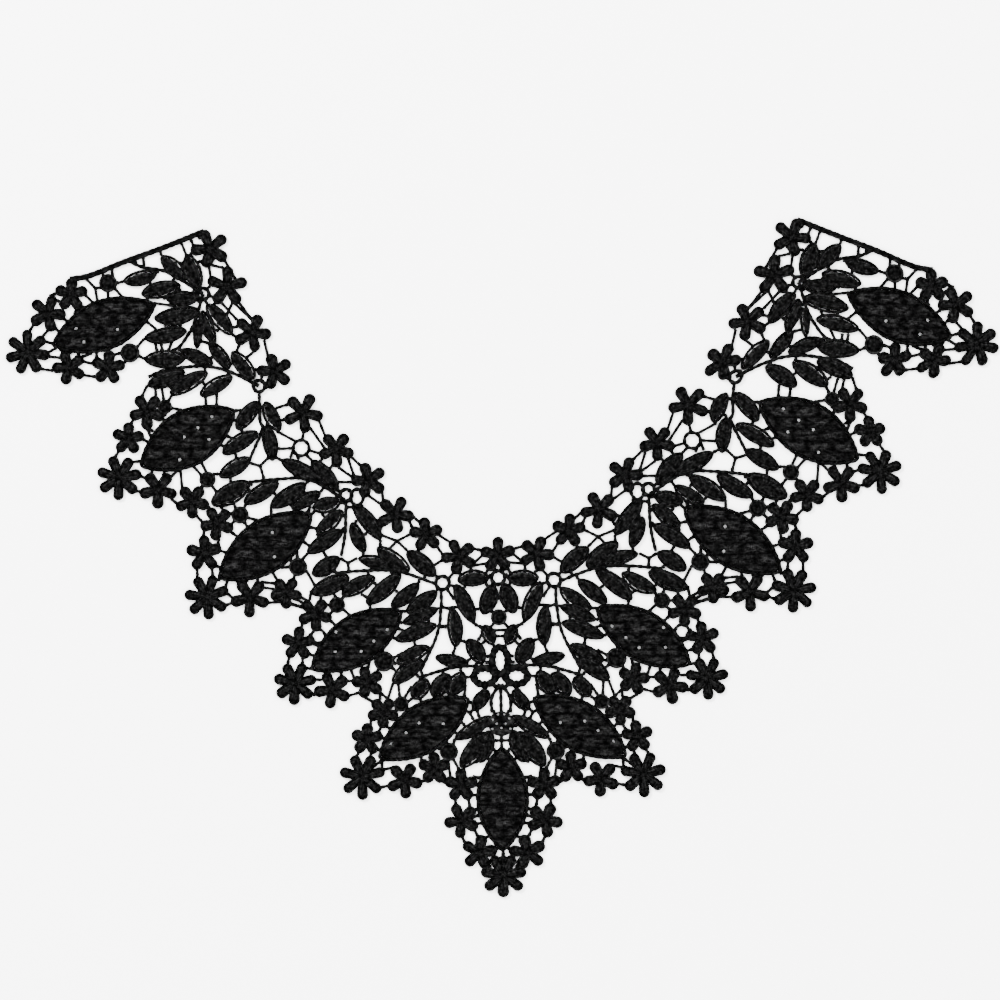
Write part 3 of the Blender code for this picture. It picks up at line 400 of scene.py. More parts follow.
def piece(name, chunks, materials):
    """One object at the origin from several chunks, in metres, smooth but for sharp folds."""
    starts = np.cumsum([0] + [len(c[0]) for c in chunks])
    points = np.concatenate([c[0] for c in chunks]) * MM
    corners = np.concatenate([c[1] + s for c, s in zip(chunks, starts)]).astype(np.int32)
    sizes = np.concatenate([c[2] for c in chunks]).astype(np.int32)
    corner_uv = np.concatenate([c[3] for c in chunks]).astype(np.float32)
    slots = np.concatenate([c[4] for c in chunks]).astype(np.int32)
    mesh = bpy.data.meshes.new(name)
    mesh.vertices.add(len(points))
    mesh.vertices.foreach_set("co", points.astype(np.float32).ravel())
    mesh.loops.add(len(corners))
    mesh.loops.foreach_set("vertex_index", corners)
    mesh.polygons.add(len(sizes))
    starts = np.concatenate(([0], np.cumsum(sizes)[:-1])).astype(np.int32)
    mesh.polygons.foreach_set("loop_start", starts)
    mesh.polygons.foreach_set("material_index", slots)
    mesh.update(calc_edges=True)
    mesh.uv_layers.new(name="thread").data.foreach_set("uv", corner_uv.ravel())
    for material in materials:
        mesh.materials.append(material)
    mesh.shade_smooth()
    mesh.set_sharp_from_angle(angle=SHARP_FOLD)
    made = bpy.data.objects.new(name, mesh)
    bpy.context.scene.collection.objects.link(made)
    return made


# ---------------------------------------------------------------- padded motifs

# Rings from the underside's edge to the middle: share of the half width drawn in, height in mm,
# and by how much every other stitch stands out
PAD_RINGS = np.array((
    (0.00, 0.30, 0.00), (0.00, 1.00, 0.06), (0.12, 1.45, 0.12), (0.35, 1.75, 0.15),
    (0.60, 1.90, 0.15), (0.85, 1.75, 0.08),
))
PETAL_RINGS = np.array((
    (0.08, 0.00, 0.00), (0.00, 0.50, 0.04), (0.05, 1.15, 0.08), (0.22, 1.45, 0.10),
    (0.42, 0.95, 0.03), (0.62, 1.45, 0.10), (0.86, 1.65, 0.05),
))
BERRY_RINGS = np.array((
    (0.06, 0.00, 0.00), (0.00, 0.50, 0.03), (0.03, 1.10, 0.07), (0.14, 1.50, 0.12),
    (0.26, 1.30, 0.10), (0.34, 0.95, 0.02), (0.48, 1.65, 0.12), (0.64, 2.02, 0.12),
    (0.80, 2.12, 0.08), (0.93, 1.95, 0.00),
))
PAD_AROUND = 44         # points round a small leaf's pad
PETAL_AROUND = 18
BERRY_AROUND = 32
EYE_AROUND = 16
EYE_SHARE = 0.42        # width of a flower's eye, as a share of the flower's radius
UNEVEN = 0.05           # how much the height of motifs and the width of petals vary
RING_RUN = 6.0          # points of a ring over which the pattern runs on by the motif's width
LEAF_BLUNT = 0.55       # power that rounds a small leaf; 1 is a plain sine lens
BIG_BLUNT = 0.75        # the same for a big leaf
EDGE_WIDTH = 1.2        # the cord round a small leaf
EDGE_TOP = 1.6
EDGE_IN = 0.1
EDGE_PITCH = 2.0
EDGE_AROUND = 7
EDGE_POINTS = 46
PAD_INSET = 1.15        # how far a small leaf's pad is drawn in from the cord's outer side
TOOTH = 0.36            # how far a stitch reaches over the slit beside the pad, to the cord
TOOTH_EVERY = 4         # how many points of the pad's edge there are to each of them
TOOTH_IN = 0.25         # share of the pad's half width over which it ends
PAD_SHIFT = 0.5         # how far a pad may lie to one side, which opens a slit along the other
LEAF_BEND = 0.035       # how far a small leaf may bow, as a share of its length
TIP_INSET = 1.3         # how much further than its sides a leaf's tips are drawn in


def lens_half(t, blunt):
    """Half width of a leaf along its length: sin(pi t) to a power."""
    return np.abs(np.sin(np.pi * t)) ** blunt


def lens_edge(a, length, width, inset, blunt):
    """Along and across of a leaf's edge at angle a, drawn in by an inset."""
    t = (1 - np.cos(a)) / 2
    along = TIP_INSET * inset + (length - 2 * TIP_INSET * inset) * t
    return along, -np.sign(np.sin(a)) * (width / 2 - inset) * lens_half(t, blunt)


def petal_edge(a, length, width, inset):
    """Along and across of a petal's edge: a finger with a round end, narrower at its root."""
    head = width / 2 - inset
    middle = length - width / 2
    c, s = np.cos(a), np.sin(a)
    outer = c > 0
    along = np.where(outer, middle + head * c, middle + (middle - inset) * c)
    shape = np.where(outer, np.abs(s), np.abs(s) ** PETAL_SIDES)
    root = np.where(outer, 1.0, 1 + (1 - PETAL_ROOT) * c)
    return along, np.sign(s) * head * shape * root


def round_edge(a, diameter, inset):
    """Along and across of a circle's edge, measured from its centre."""
    return (diameter / 2 - inset) * np.cos(a), (diameter / 2 - inset) * np.sin(a)


def angles(around):
    """Evenly spaced angles round a full turn."""
    return 2 * np.pi * np.arange(around) / around


def stitched(x, y, turn, edge, half_width, profile, around, slot):
    """Many padded motifs of one kind, from their edge formula and one profile.

    edge(a, inset) gives along and across. Ring by ring the edge is drawn in by the profile's share
    of the half width and raised to its height. Every other point round a ring stands out by the
    profile's stitch height, which gives the ridges of satin stitch.
    """
    x, y, turn, half_width = (np.asarray(v, float)[:, None, None] for v in (x, y, turn, half_width))
    share, height, stitch = (profile[:, k][None, :, None] for k in range(3))
    a = angles(around)[None, None]
    out = np.where(np.arange(around) % 2, -1.0, 1.0)[None, None]
    along, across = edge(a, half_width * share - stitch * out / 2)
    px, py = polar(x, y, turn, along, across)
    worked = 1 + UNEVEN * CHANCE.uniform(-1, 1, x.shape)
    pz = np.maximum(height * worked + stitch * out, 0.0)
    rings = np.stack(np.broadcast_arrays(px, py, pz), -1)
    u = 2 * half_width * np.arange(around + 1) / RING_RUN
    uv = np.stack(np.broadcast_arrays(u, share), -1)
    return bodies(rings, np.ascontiguousarray(uv), slot)


def columns(rows):
    """The columns of a table, one array each."""
    return (np.asarray(rows, float)[:, k] for k in range(np.shape(rows)[1]))


def leaves(rows, slot, cord_slot):
    """Small leaves: a cord round each, and a padded middle that lies a little to one side of it.

    Some stitches of the pad reach over the slit that is left, as far as the cord.
    """
    x, y, turn, length, width = columns(rows)
    x, y = polar(x, y, turn, -GROWN, 0.0)
    length, width = (length + 2 * GROWN)[:, None, None], (width + 2 * GROWN)[:, None, None]
    bend = LEAF_BEND * CHANCE.uniform(-1, 1, length.shape) * length
    aside = PAD_SHIFT * CHANCE.uniform(-1, 1, length.shape)

    def edge(a, inset):
        along, across = lens_edge(a, length, width, inset, LEAF_BLUNT)
        return along, across + bend * np.sin(np.pi * along / length)

    half_pad = width[:, 0, 0] / 2 - PAD_INSET
    over = TOOTH * (np.arange(PAD_AROUND) % TOOTH_EVERY == 0)

    def pad_edge(a, inset):
        outer = np.clip(1 - inset / (TOOTH_IN * half_pad[:, None, None]), 0, 1)
        along, across = edge(a, PAD_INSET + inset - over * outer)
        return along, across + aside

    pads = stitched(x, y, turn, pad_edge, half_pad, PAD_RINGS, PAD_AROUND, slot)
    along, across = edge(angles(EDGE_POINTS)[None, None], EDGE_WIDTH / 2 + EDGE_IN)
    path = np.stack(polar(x[:, None], y[:, None], turn[:, None], along[:, 0], across[:, 0]), -1)
    return [pads, cord(path, EDGE_WIDTH, EDGE_TOP, cord_slot, EDGE_AROUND, EDGE_PITCH, closed=True)]


def petals(rows, count, width, slot):
    """Every petal of many flowers: a finger from the flower's middle to its radius."""
    x, y, radius, turn = (np.repeat(c, count) for c in columns(rows))
    turn = turn + np.tile(np.arange(count) * 360 / count, len(rows))
    turn = turn + PETAL_SWAY * CHANCE.uniform(-1, 1, len(turn))
    length = (radius + GROWN)[:, None, None]
    wide = (width + GROWN) * (1 + UNEVEN * CHANCE.uniform(-1, 1, length.shape))
    return stitched(x, y, turn, lambda a, inset: petal_edge(a, length, wide, inset),
                    wide[:, 0, 0] / 2, PETAL_RINGS, PETAL_AROUND, slot)


def rounds(rows, slot, grown=GROWN, around=BERRY_AROUND):
    """Round padded knobs: x, y, diameter."""
    x, y, diameter = columns(rows)
    wide = (diameter + 2 * grown)[:, None, None]
    return stitched(x, y, np.zeros(len(x)), lambda a, inset: round_edge(a, wide, inset),
                    wide[:, 0, 0] / 2, BERRY_RINGS, around, slot)


def eyes(rows, slot):
    """The small raised eye of each flower."""
    rows = np.asarray(rows, float)
    return rounds(np.column_stack((rows[:, :2], rows[:, 2] * EYE_SHARE)), slot, 0.0, EYE_AROUND)


# ---------------------------------------------------------------- cords and bars

def smooth_curve(points, spacing):
    """A Catmull-Rom curve through the points, read at about the given spacing."""
    p = np.asarray(points, float)
    p = np.vstack((2 * p[0] - p[1], p, 2 * p[-1] - p[-2]))
    out = []
    for a, b, c, d in zip(p[:-3], p[1:-2], p[2:-1], p[3:]):
        n = max(1, round(np.linalg.norm(c - b) / spacing))
        t = (np.arange(n) / n)[:, None]
        out.append(0.5 * (2 * b + (c - a) * t + (2 * a - 5 * b + 4 * c - d) * t ** 2
                          + (3 * b - a - 3 * c + d) * t ** 3))
    out.append(p[-2:-1])
    return np.vstack(out)


def normals(path, closed=False):
    """Unit directions to the left of paths: paths, points, x y."""
    run = np.roll(path, -1, -2) - np.roll(path, 1, -2) if closed else np.gradient(path, axis=-2)
    run /= np.linalg.norm(run, axis=-1, keepdims=True)
    return np.stack((-run[..., 1], run[..., 0]), -1)


def cord(path, width, height, slot, around=CORD_AROUND, pitch=CORD_PITCH, closed=False, flare=None):
    """Twisted cords along paths of the same number of points: paths, points, x y.

    A ring's radius swells twice round it, r = 1 + PLY cos(2a - 2 pi s / pitch), so the cord looks
    two-ply. The cord rests on its underside: what would lie below it is pressed flat. flare widens
    it: one number for each point of each path.
    """
    path = np.asarray(path, float)
    step = np.linalg.norm(np.diff(path, axis=1, prepend=path[:, :1]), axis=-1)
    s = np.cumsum(step, axis=1)[..., None]
    a = angles(around)[None, None]
    r = 1 + PLY * np.cos(2 * a - 2 * np.pi * s / pitch)
    spread = np.ones(path.shape[:2]) if flare is None else flare
    across = r * np.cos(a) * width / 2 * spread[..., None]
    up = np.maximum((CORD_MIDDLE + r * np.sin(a) / 2) * height, 0.0)
    xy = path[:, :, None] + normals(path, closed)[:, :, None] * across[..., None]
    rings = np.concatenate((xy, up[..., None]), -1)
    # The second thread coordinate runs once round the cord, from its side over its top; the painted
    # light and shade of the cord thread follow it
    round_it = np.arange(around + 1) / around
    uv = np.stack(np.broadcast_arrays(s + pitch * round_it, round_it + 0 * s), -1)
    return bodies(rings, np.ascontiguousarray(uv), slot, closed)


def bars(ends, slot):
    """Thin twisted bars between pairs of points, wider where they enter a motif.

    At a distance s from an end the width is 1 + BAR_FLARE exp(-|s - BAR_SINK| / FLARE_REACH) times
    BAR_WIDTH, and the end is rounded by a factor sqrt(1 - (1 - s / BAR_ROUND)^2).
    """
    ends = np.asarray(ends, float).reshape(-1, 2, 2)
    t = np.concatenate((BAR_STEPS, 1 - BAR_STEPS[::-1]))
    path = ends[:, :1] * (1 - t[None, :, None]) + ends[:, 1:] * t[None, :, None]
    length = np.linalg.norm(ends[:, 1] - ends[:, 0], axis=1)[:, None]
    near = length * np.minimum(t, 1 - t)
    flare = 1 + BAR_FLARE * np.exp(-np.abs(near - BAR_SINK) / FLARE_REACH)
    short = np.maximum(1 - near / BAR_ROUND, 0)
    flare *= np.maximum(np.sqrt(1 - short ** 2), BAR_END)
    return cord(path, BAR_WIDTH, BAR_TOP, slot, BAR_AROUND, BAR_PITCH, flare=flare)


def stems(rows, slot):
    """One cord along the smooth curve through each row's points."""
    return [cord(smooth_curve(s, CORD_STEP)[None], STEM_WIDTH, STEM_TOP, slot) for s in rows]


def oval_path(x, y, turn, length, width, count):
    """Points round an ellipse: half its length times cos a, half its width times sin a."""
    a = angles(count)
    return np.stack(polar(x, y, turn, length / 2 * np.cos(a), width / 2 * np.sin(a)), -1)


def eyelets(rows, slot):
    """Corded rings round holes: each a cord along the ellipse midway between hole and edge."""
    out = []
    for x, y, turn, length, width, hole_length, hole_width in rows:
        path = oval_path(x, y, turn, (length + hole_length) / 2 + GROWN,
                         (width + hole_width) / 2 + GROWN, RING_POINTS)
        thick = (length - hole_length + width - hole_width) / 4 + GROWN
        out.append(cord(path[None], thick, RING_TOP, slot, RING_AROUND, RING_PITCH, closed=True))
    return out


def rim(row, slot):
    """The two cords round a big leaf, each along its lens drawn in by half its own width."""
    x, y, turn, length, width = row
    out = []
    for thick, high, inset in ((RIM_WIDTH, RIM_TOP, RIM_WIDTH / 2 - GROWN),
                               (RIM_FINE, RIM_FINE_TOP, RIM_WIDTH + RIM_FINE / 2 - GROWN)):
        edge = lens_edge(angles(RIM_POINTS), length, width, inset, BIG_BLUNT)
        path = np.stack(polar(x, y, turn, *edge), -1)
        out.append(cord(path[None], thick, high, slot, pitch=RIM_PITCH * thick, closed=True))
    return out


# ---------------------------------------------------------------- woven fillings

BLOCK_LONG = 10.6       # a woven block lies along the collar's width
BLOCK_HIGH = 4.7
BLOCK_RISE = 0.3        # height of a block's pillow
BLOCK_SLACK = 0.06      # and how much that varies from block to block
LOOSE_BLOCKS = (7, 11)  # blocks across and courses after which the same slack comes again
RIB = 1.6               # pitch of the ribs inside a block
RIB_RISE = 0.05
PLATE_END = 0.008       # share of its length by which a plate stops short of its tips
PLATE_UNDER = 0.02      # height of its underside
PLATE_TOP = 1.2         # and of its upper side along the edge
FILL_CROWN = 0.4        # how much higher a filling's middle is
FILL_UNDER_RIM = 0.25   # how far it runs under the fine rim cord
FILL_CELLS = (84, 36)   # along it and across it
DISC_CROWN = 0.3
DISC_CELLS = (24, 24)
PINHOLE = 0.66          # radius of a pinhole in a filling
DISC_PINHOLE = 0.5      # and in the disc
PINHOLE_EDGE = 0.8      # height of its edge
LEAST_WAY = 0.01        # stands for the distance of a pinhole's middle from itself, which is none


def plate(x, y, turn, length, width, half, holes, pinhole, crown, cells, slot):
    """A woven plate: two layers of a grid that is squeezed into the outline, with pinholes.

    t runs 0 to 1 along and v -1 to 1 across, where half(t) is the share of the half width. The top
    is PLATE_TOP + crown (1 - v^2) sqrt(sin(pi t)), plus a pillow for each block of a brick pattern
    that lies along x whatever the plate's turn, with ribs along it. fx and fy run 0 to 1 over a
    block, and its pillow is (1 - (2 fx - 1)^6) (1 - (2 fy - 1)^4).
    Each pinhole leaves out four cells, with the ring of points round it laid on a circle and sunk.
    """
    rows, across_cells = cells
    t = np.linspace(PLATE_END, 1 - PLATE_END, rows + 1)[:, None]
    v = np.linspace(-1, 1, across_cells + 1)[None]
    along = np.broadcast_to(t * length, (rows + 1, across_cells + 1)).copy()
    across = width / 2 * half(t) * v
    px, py = polar(x, y, turn, along, across)
    course = np.floor(py / BLOCK_HIGH).astype(int)
    shifted = px / BLOCK_LONG + 0.5 * (course % 2 == 0)
    fx, fy = shifted % 1, py / BLOCK_HIGH % 1
    pillow = (1 - (2 * fx - 1) ** 6) * (1 - (2 * fy - 1) ** 4)
    loose = CHANCE.uniform(-1, 1, LOOSE_BLOCKS)
    loose = loose[np.floor(shifted).astype(int) % LOOSE_BLOCKS[0], course % LOOSE_BLOCKS[1]]
    ribs = RIB_RISE * np.cos(2 * np.pi * py / RIB)
    top = PLATE_TOP + crown * (1 - v ** 2) * np.sin(np.pi * t) ** 0.5
    top = top + pillow * (BLOCK_RISE + BLOCK_SLACK * loose + ribs)
    kept = np.ones((rows, across_cells), bool)
    for a, b in holes:
        row = int(np.clip(np.argmin(np.abs(t[:, 0] * length - a)), 2, rows - 2))
        reach = width / 2 * half(t[row, 0])
        column = int(np.clip(round((b / reach + 1) / 2 * across_cells), 2, across_cells - 2))
        kept[row - 1:row + 1, column - 1:column + 1] = False
        middle_along, middle_across = along[row, column], across[row, column]
        block = np.s_[row - 1:row + 2, column - 1:column + 2]
        away = np.stack((along[block] - middle_along, across[block] - middle_across))
        away *= pinhole / np.maximum(np.linalg.norm(away, axis=0), LEAST_WAY)
        along[block], across[block] = middle_along + away[0], middle_across + away[1]
        top[block] = PINHOLE_EDGE
    px, py = polar(x, y, turn, along, across)
    under = np.full(px.shape, PLATE_UNDER)
    points = np.concatenate([np.stack((px, py, z), -1).reshape(-1, 3) for z in (top, under)])
    uv = np.stack((px / BLOCK_LONG, py / BLOCK_HIGH), -1).reshape(-1, 2)
    return grid_faces(points, px.shape, kept, uv, slot)


def grid_faces(points, shape, kept, uv, slot):
    """Top and bottom quads of the kept cells, and a wall wherever a kept cell has no neighbour."""
    n = shape[0] * shape[1]
    grid = np.arange(n).reshape(shape)
    a, b, c, d = grid[:-1, :-1], grid[1:, :-1], grid[1:, 1:], grid[:-1, 1:]
    top = np.stack((a, b, c, d), -1)[kept]
    walls = []
    wide = np.pad(kept, 1)
    for p, q, other in ((a, b, wide[1:-1, :-2]), (b, c, wide[2:, 1:-1]),
                        (c, d, wide[1:-1, 2:]), (d, a, wide[:-2, 1:-1])):
        edge = kept & ~other
        walls.append(np.stack((q[edge], p[edge], p[edge] + n, q[edge] + n), -1))
    quads = np.concatenate((top, (top + n)[:, ::-1], *walls)).reshape(-1)
    sizes = np.full(len(quads) // 4, 4)
    return points, quads, sizes, np.tile(uv, (2, 1))[quads], np.full(len(sizes), slot)


def filling(row, holes, slot):
    """The woven filling inside a big leaf's two rim cords."""
    x, y, turn, length, width = row
    inset = RIM_WIDTH + RIM_FINE - GROWN - FILL_UNDER_RIM
    x, y = polar(x, y, turn, TIP_INSET * inset, 0.0)
    return plate(x, y, turn, length - 2 * TIP_INSET * inset, width - 2 * inset,
                 lambda t: lens_half(t, BIG_BLUNT), holes, PINHOLE, FILL_CROWN, FILL_CELLS, slot)


def disc(x, y, diameter, holes, slot):
    """A round woven plate with pinholes, that runs from its back edge to the front."""
    return plate(x, y + diameter / 2, -90, diameter, diameter,
                 lambda t: np.sqrt(np.maximum(4 * t * (1 - t), 0)), holes, DISC_PINHOLE,
                 DISC_CROWN, DISC_CELLS, slot)


# ---------------------------------------------------------------- linking bars

# How finely the outlines between which links are looked for are drawn: points round a leaf, a
# petal's head, a berry and an eyelet, and spacing in mm along stems, end cords and any long edge
LEAF_POINTS, HEAD_POINTS, BERRY_POINTS, EYELET_POINTS = 40, 9, 18, 20
STEM_STEP, END_STEP, OUTLINE_STEP = 2.0, 6.0, 0.6
HEAD_ANGLE = 95         # how far round its finger a petal's head reaches, in degrees to each side
END_WIDTH = 2.1         # both cords of an end together
SHORT_WAY = 0.1         # an end nearer its motif than this sinks in by less


def dense(outline, spacing=OUTLINE_STEP):
    """The outline with extra points along its longer edges."""
    ends = np.roll(outline, -1, axis=0)
    out = []
    for a, b in zip(outline, ends):
        n = max(1, math.ceil(np.linalg.norm(b - a) / spacing))
        out.append(a + (b - a) * (np.arange(n) / n)[:, None])
    return np.vstack(out)


def inside(points, outline):
    """Which points lie inside a closed outline, by counting crossings."""
    a, b = outline, np.roll(outline, -1, axis=0)
    x, y = points[:, :1], points[:, 1:]
    spans = (a[:, 1] > y) != (b[:, 1] > y)
    with np.errstate(divide="ignore", invalid="ignore"):
        cross = (b[:, 0] - a[:, 0]) * (y - a[:, 1]) / (b[:, 1] - a[:, 1]) + a[:, 0]
    return (spans & (x < cross)).sum(axis=1) % 2 == 1


def close_links(first, second, reach, apart, most):
    """Short links between two outlines, shortest first, spaced out along their facing edges."""
    gap = np.linalg.norm(first[:, None] - second[None], axis=2)
    nearest = gap.argmin(axis=1)
    short = gap[np.arange(len(first)), nearest]
    links = []
    for k in np.argsort(short):
        if short[k] > reach or len(links) == most:
            break
        if short[k] < LEAST_LINK:
            continue
        p, q = first[k], second[nearest[k]]
        middle = (p + q) / 2
        if all(np.linalg.norm(middle - m) > apart for _, _, _, m in links):
            links.append((short[k], p, q, middle))
    return links


def linking_bars(shapes, taken):
    """Short bars between neighbouring motifs, shortest first, kept apart and off other motifs."""
    kinds, shapes = zip(*shapes)
    points = [dense(s) for s in shapes]
    low = np.array([p.min(axis=0) for p in points]) - REACH / 2
    high = np.array([p.max(axis=0) for p in points]) + REACH / 2
    links = []
    for i in range(len(shapes)):
        for j in range(i + 1, len(shapes)):
            if (low[i] < high[j]).all() and (low[j] < high[i]).all():
                rule = LINKS.get(tuple(sorted((kinds[i], kinds[j]))), OTHER_LINKS)
                links += [(d, i, j, p, q) for d, p, q, _ in close_links(points[i], points[j], *rule)]
    links.sort(key=lambda link: link[0])
    run = np.linspace(0, 1, LINK_POINTS)[:, None]
    drawn = np.linspace(0, 1, DRAWN_POINTS)[:, None]
    laid_bars = np.vstack([a + (b - a) * drawn for a, b in taken])
    found = []
    for length, i, j, p, q in links:
        samples = p + (q - p) * run
        if np.linalg.norm(samples[:, None] - laid_bars[None], axis=2).min() < BAR_SPACING:
            continue
        near = [k for k in range(len(shapes)) if k not in (i, j)
                and (low[k] < samples.max(axis=0)).all() and (high[k] > samples.min(axis=0)).all()]
        if any(np.linalg.norm(samples[:, None] - points[k][None], axis=2).min() < BAR_CLEAR
               or inside(samples, shapes[k]).any() for k in near):
            continue
        if inside(samples[2:-2], shapes[i]).any() or inside(samples[2:-2], shapes[j]).any():
            continue
        along = (q - p) / length
        laid_bars = np.vstack((laid_bars, samples))
        found.append((p - BAR_SINK * along, q + BAR_SINK * along))
    return found


def lens_outlines(rows, blunt):
    """The outline of each leaf, with its edge stitches."""
    out = []
    for x, y, turn, length, width in rows:
        edge = lens_edge(angles(LEAF_POINTS), length, width, -GROWN, blunt)
        out.append(np.stack(polar(x, y, turn, *edge), -1))
    return out


def flower_outlines(rows, count, width):
    """Each flower as one outline of round-ended fingers, for finding its links."""
    out = []
    head = np.radians(np.linspace(-HEAD_ANGLE, HEAD_ANGLE, HEAD_POINTS))
    half = width / 2 + GROWN / 2
    for x, y, radius, turn in rows:
        points = []
        for k in range(count):
            toward = turn + 360 * k / count
            valley = half * PETAL_ROOT / math.sin(math.pi / count)
            points.append(np.stack(polar(x, y, toward - 180 / count, np.array([valley]), 0.0), -1))
            tip = radius + GROWN - half
            points.append(np.stack(polar(x, y, toward, tip + half * np.cos(head),
                                         half * np.sin(head)), -1))
        out.append(np.vstack(points))
    return out


def strip(path, width):
    """The outline of a path of the given width."""
    side = normals(path) * width / 2
    return np.vstack((path - side, (path + side)[::-1]))


def motif_outlines(leaf_rows, big_rows, five, seven, round_rows, eyelet_rows, stem_rows):
    """The outlines of one group of motifs."""
    out = [("leaf", s) for s in lens_outlines(leaf_rows, LEAF_BLUNT)]
    out += [("big", s) for s in lens_outlines(big_rows, BIG_BLUNT)]
    out += [("flower", s) for s in flower_outlines(five, *FIVE)]
    out += [("flower", s) for s in flower_outlines(seven, *SEVEN)]
    out += [("round", oval_path(x, y, 0, d + 2 * GROWN, d + 2 * GROWN, BERRY_POINTS))
            for x, y, d in round_rows]
    out += [("round", oval_path(x, y, turn, a, b, EYELET_POINTS))
            for x, y, turn, a, b, _, _ in eyelet_rows]
    out += [("stem", strip(smooth_curve(s, STEM_STEP), STEM_WIDTH)) for s in stem_rows]
    return out


def brought_home(end, shapes):
    """A drawn bar's free end, moved to the nearest motif where it stops short of all of them."""
    spot = end[None]
    if any(inside(spot, s).any() for _, s in shapes):
        return end
    near = min((dense(s) for _, s in shapes), key=lambda s: np.linalg.norm(s - end, axis=1).min())
    foot = near[np.linalg.norm(near - end, axis=1).argmin()]
    far = np.linalg.norm(foot - end)
    if far > LOOSE_REACH:
        return end
    return foot + (foot - end) / max(far, SHORT_WAY) * BAR_SINK


def all_bars():
    """Every bar of the half chart: those of the tables and those that link what stands close.

    Motifs near the centre line are linked to from the other side too. Of such links those on the
    line itself are kept, and of the rest only this half's, because laying mirrors them.
    """
    wing = motif_outlines(LEAVES, BIG_LEAVES, FLOWERS, TIPS, BERRIES, EYELETS, STEMS)
    wing += motif_outlines(CENTRE_LEAVES, (), POINT_FLOWERS, (), (), CENTRE_EYELETS, CENTRE_STEMS)
    axis = motif_outlines((), [POINT_LEAF], NECK_FLOWER, POINT_TIP,
                          [POINT_DISC, CENTRE_KNOT[0]], AXIS_EYELETS, AXIS_STEMS)
    end = strip(smooth_curve(END_CORD, END_STEP), END_WIDTH)
    across = [(kind, s[::-1] * (-1, 1)) for kind, s in wing if s[:, 0].min() < ACROSS]
    shapes = wing + axis + across + [("cord", end)]
    fixed = [(np.array(k[:2], float), brought_home(np.array(arm, float), shapes))
             for k in KNOTS for arm in k[2:]]
    fixed += [tuple(brought_home(np.array(e, float), shapes) for e in (b[:2], b[2:])) for b in BARS]
    across_axis = [(np.array(b[:2]), np.array(b[2:])) for b in AXIS_BARS]
    found = [pair for pair in linking_bars(shapes, fixed + across_axis)
             if np.linalg.norm(OPEN_GAPS - sum(pair) / 2, axis=1).min() > OPEN_REACH]
    middle = [(a, b) for a, b in found if abs(a[0] + b[0]) < ON_AXIS]
    middle += across_axis
    outer = [(a, b) for a, b in found if a[0] + b[0] >= ON_AXIS] + fixed
    return outer, middle


# ---------------------------------------------------------------- threads

# Painted light and shade from a motif's edge to its middle, following its relief: darker on the steep
# edge and in the dips, lighter on the raised rings; round a cord, lighter on its top and darker
# underneath. Share of the way in (round a cord, of the way round), tone
LEAF_PAINTED_SHADING = ((0.0, 0.2), (0.14, 1.4), (0.30, 0.2), (0.52, 0.8), (0.76, 0.25), (0.95, 0.8))
PETAL_PAINTED_SHADING = ((0.0, 0.10), (0.12, 0.8), (0.30, 0.9), (0.42, 0.2), (0.60, 1.0), (0.90, 0.8))
CORD_PAINTED_SHADING = ((0.0, 0.5), (0.25, 1.0), (0.5, 0.5), (0.75, 0.2))
# Strands to a millimetre along a motif's edge and from its edge to its middle, and strands to a
# woven block along and across it
STRANDS, WEFT, WARP = (1.1, 1.3), (4.0, 11.0), (24.0, 4.0)
# Wider patches: of tone, to a metre of the piece, and of slacker thread, to a woven block
PATCHES, SLACK = (600.0, 600.0), (4.2, 3.4)
# What the tone is multiplied by, from least to most, in patches, slack thread, weave and stitches; on
# the stitches it paints a highlight on each ridge and shade between them, where the same pattern raises
# the surface
PATCH_TONES, SLACK_TONES, WEAVE_TONES, STITCH_HIGHLIGHT_TONES = (0.15, 1.9), (0.15, 2.1), (0.0, 2.0), (0.5, 1.2)
# The strands' tone runs from DARKEST up to each thread's painted highlight: flecks of painted sheen
# along the strands
DARKEST = 0.0003        # darkest strand of the satin and twisted threads
LEAF_HIGHLIGHT, PETAL_HIGHLIGHT, CORD_HIGHLIGHT = 0.0100, 0.0068, 0.0040
WOVEN_LIGHT, WOVEN_DARK, WOVEN_JOINT = 0.0034, 0.0026, 0.0006
SATIN_PITCH, TWIST_PITCH = 0.5, 0.6     # millimetres from stitch to stitch
WAVE = 0.314            # a wave texture of this scale repeats once a millimetre
JOINT_WIDTH = 0.34      # half of a joint between woven blocks, as a share of a block
NOISE_FROM, NOISE_TO = 0.36, 0.66       # where a noise begins to tell, and where it does in full
NOISE_DETAIL, NOISE_ROUGH = 3.0, 0.6
STITCH_WAVER, STITCH_DETAIL = 1.2, 2.0
ROUGH, GLOSS = 0.6, 0.003               # roughness and specular level of the matt thread
STITCH_RAISED = (0.7, 0.00012)          # strength, and height in metres
WEAVE_RAISED = (0.8, 0.00015)


def with_values(node, **values):
    """A shader node with values on its inputs, whose names have _ here for a space."""
    for name, value in values.items():
        node.inputs[name.replace("_", " ")].default_value = value
    return node


def grey(tone):
    """A colour without hue."""
    return tone, tone, tone, 1


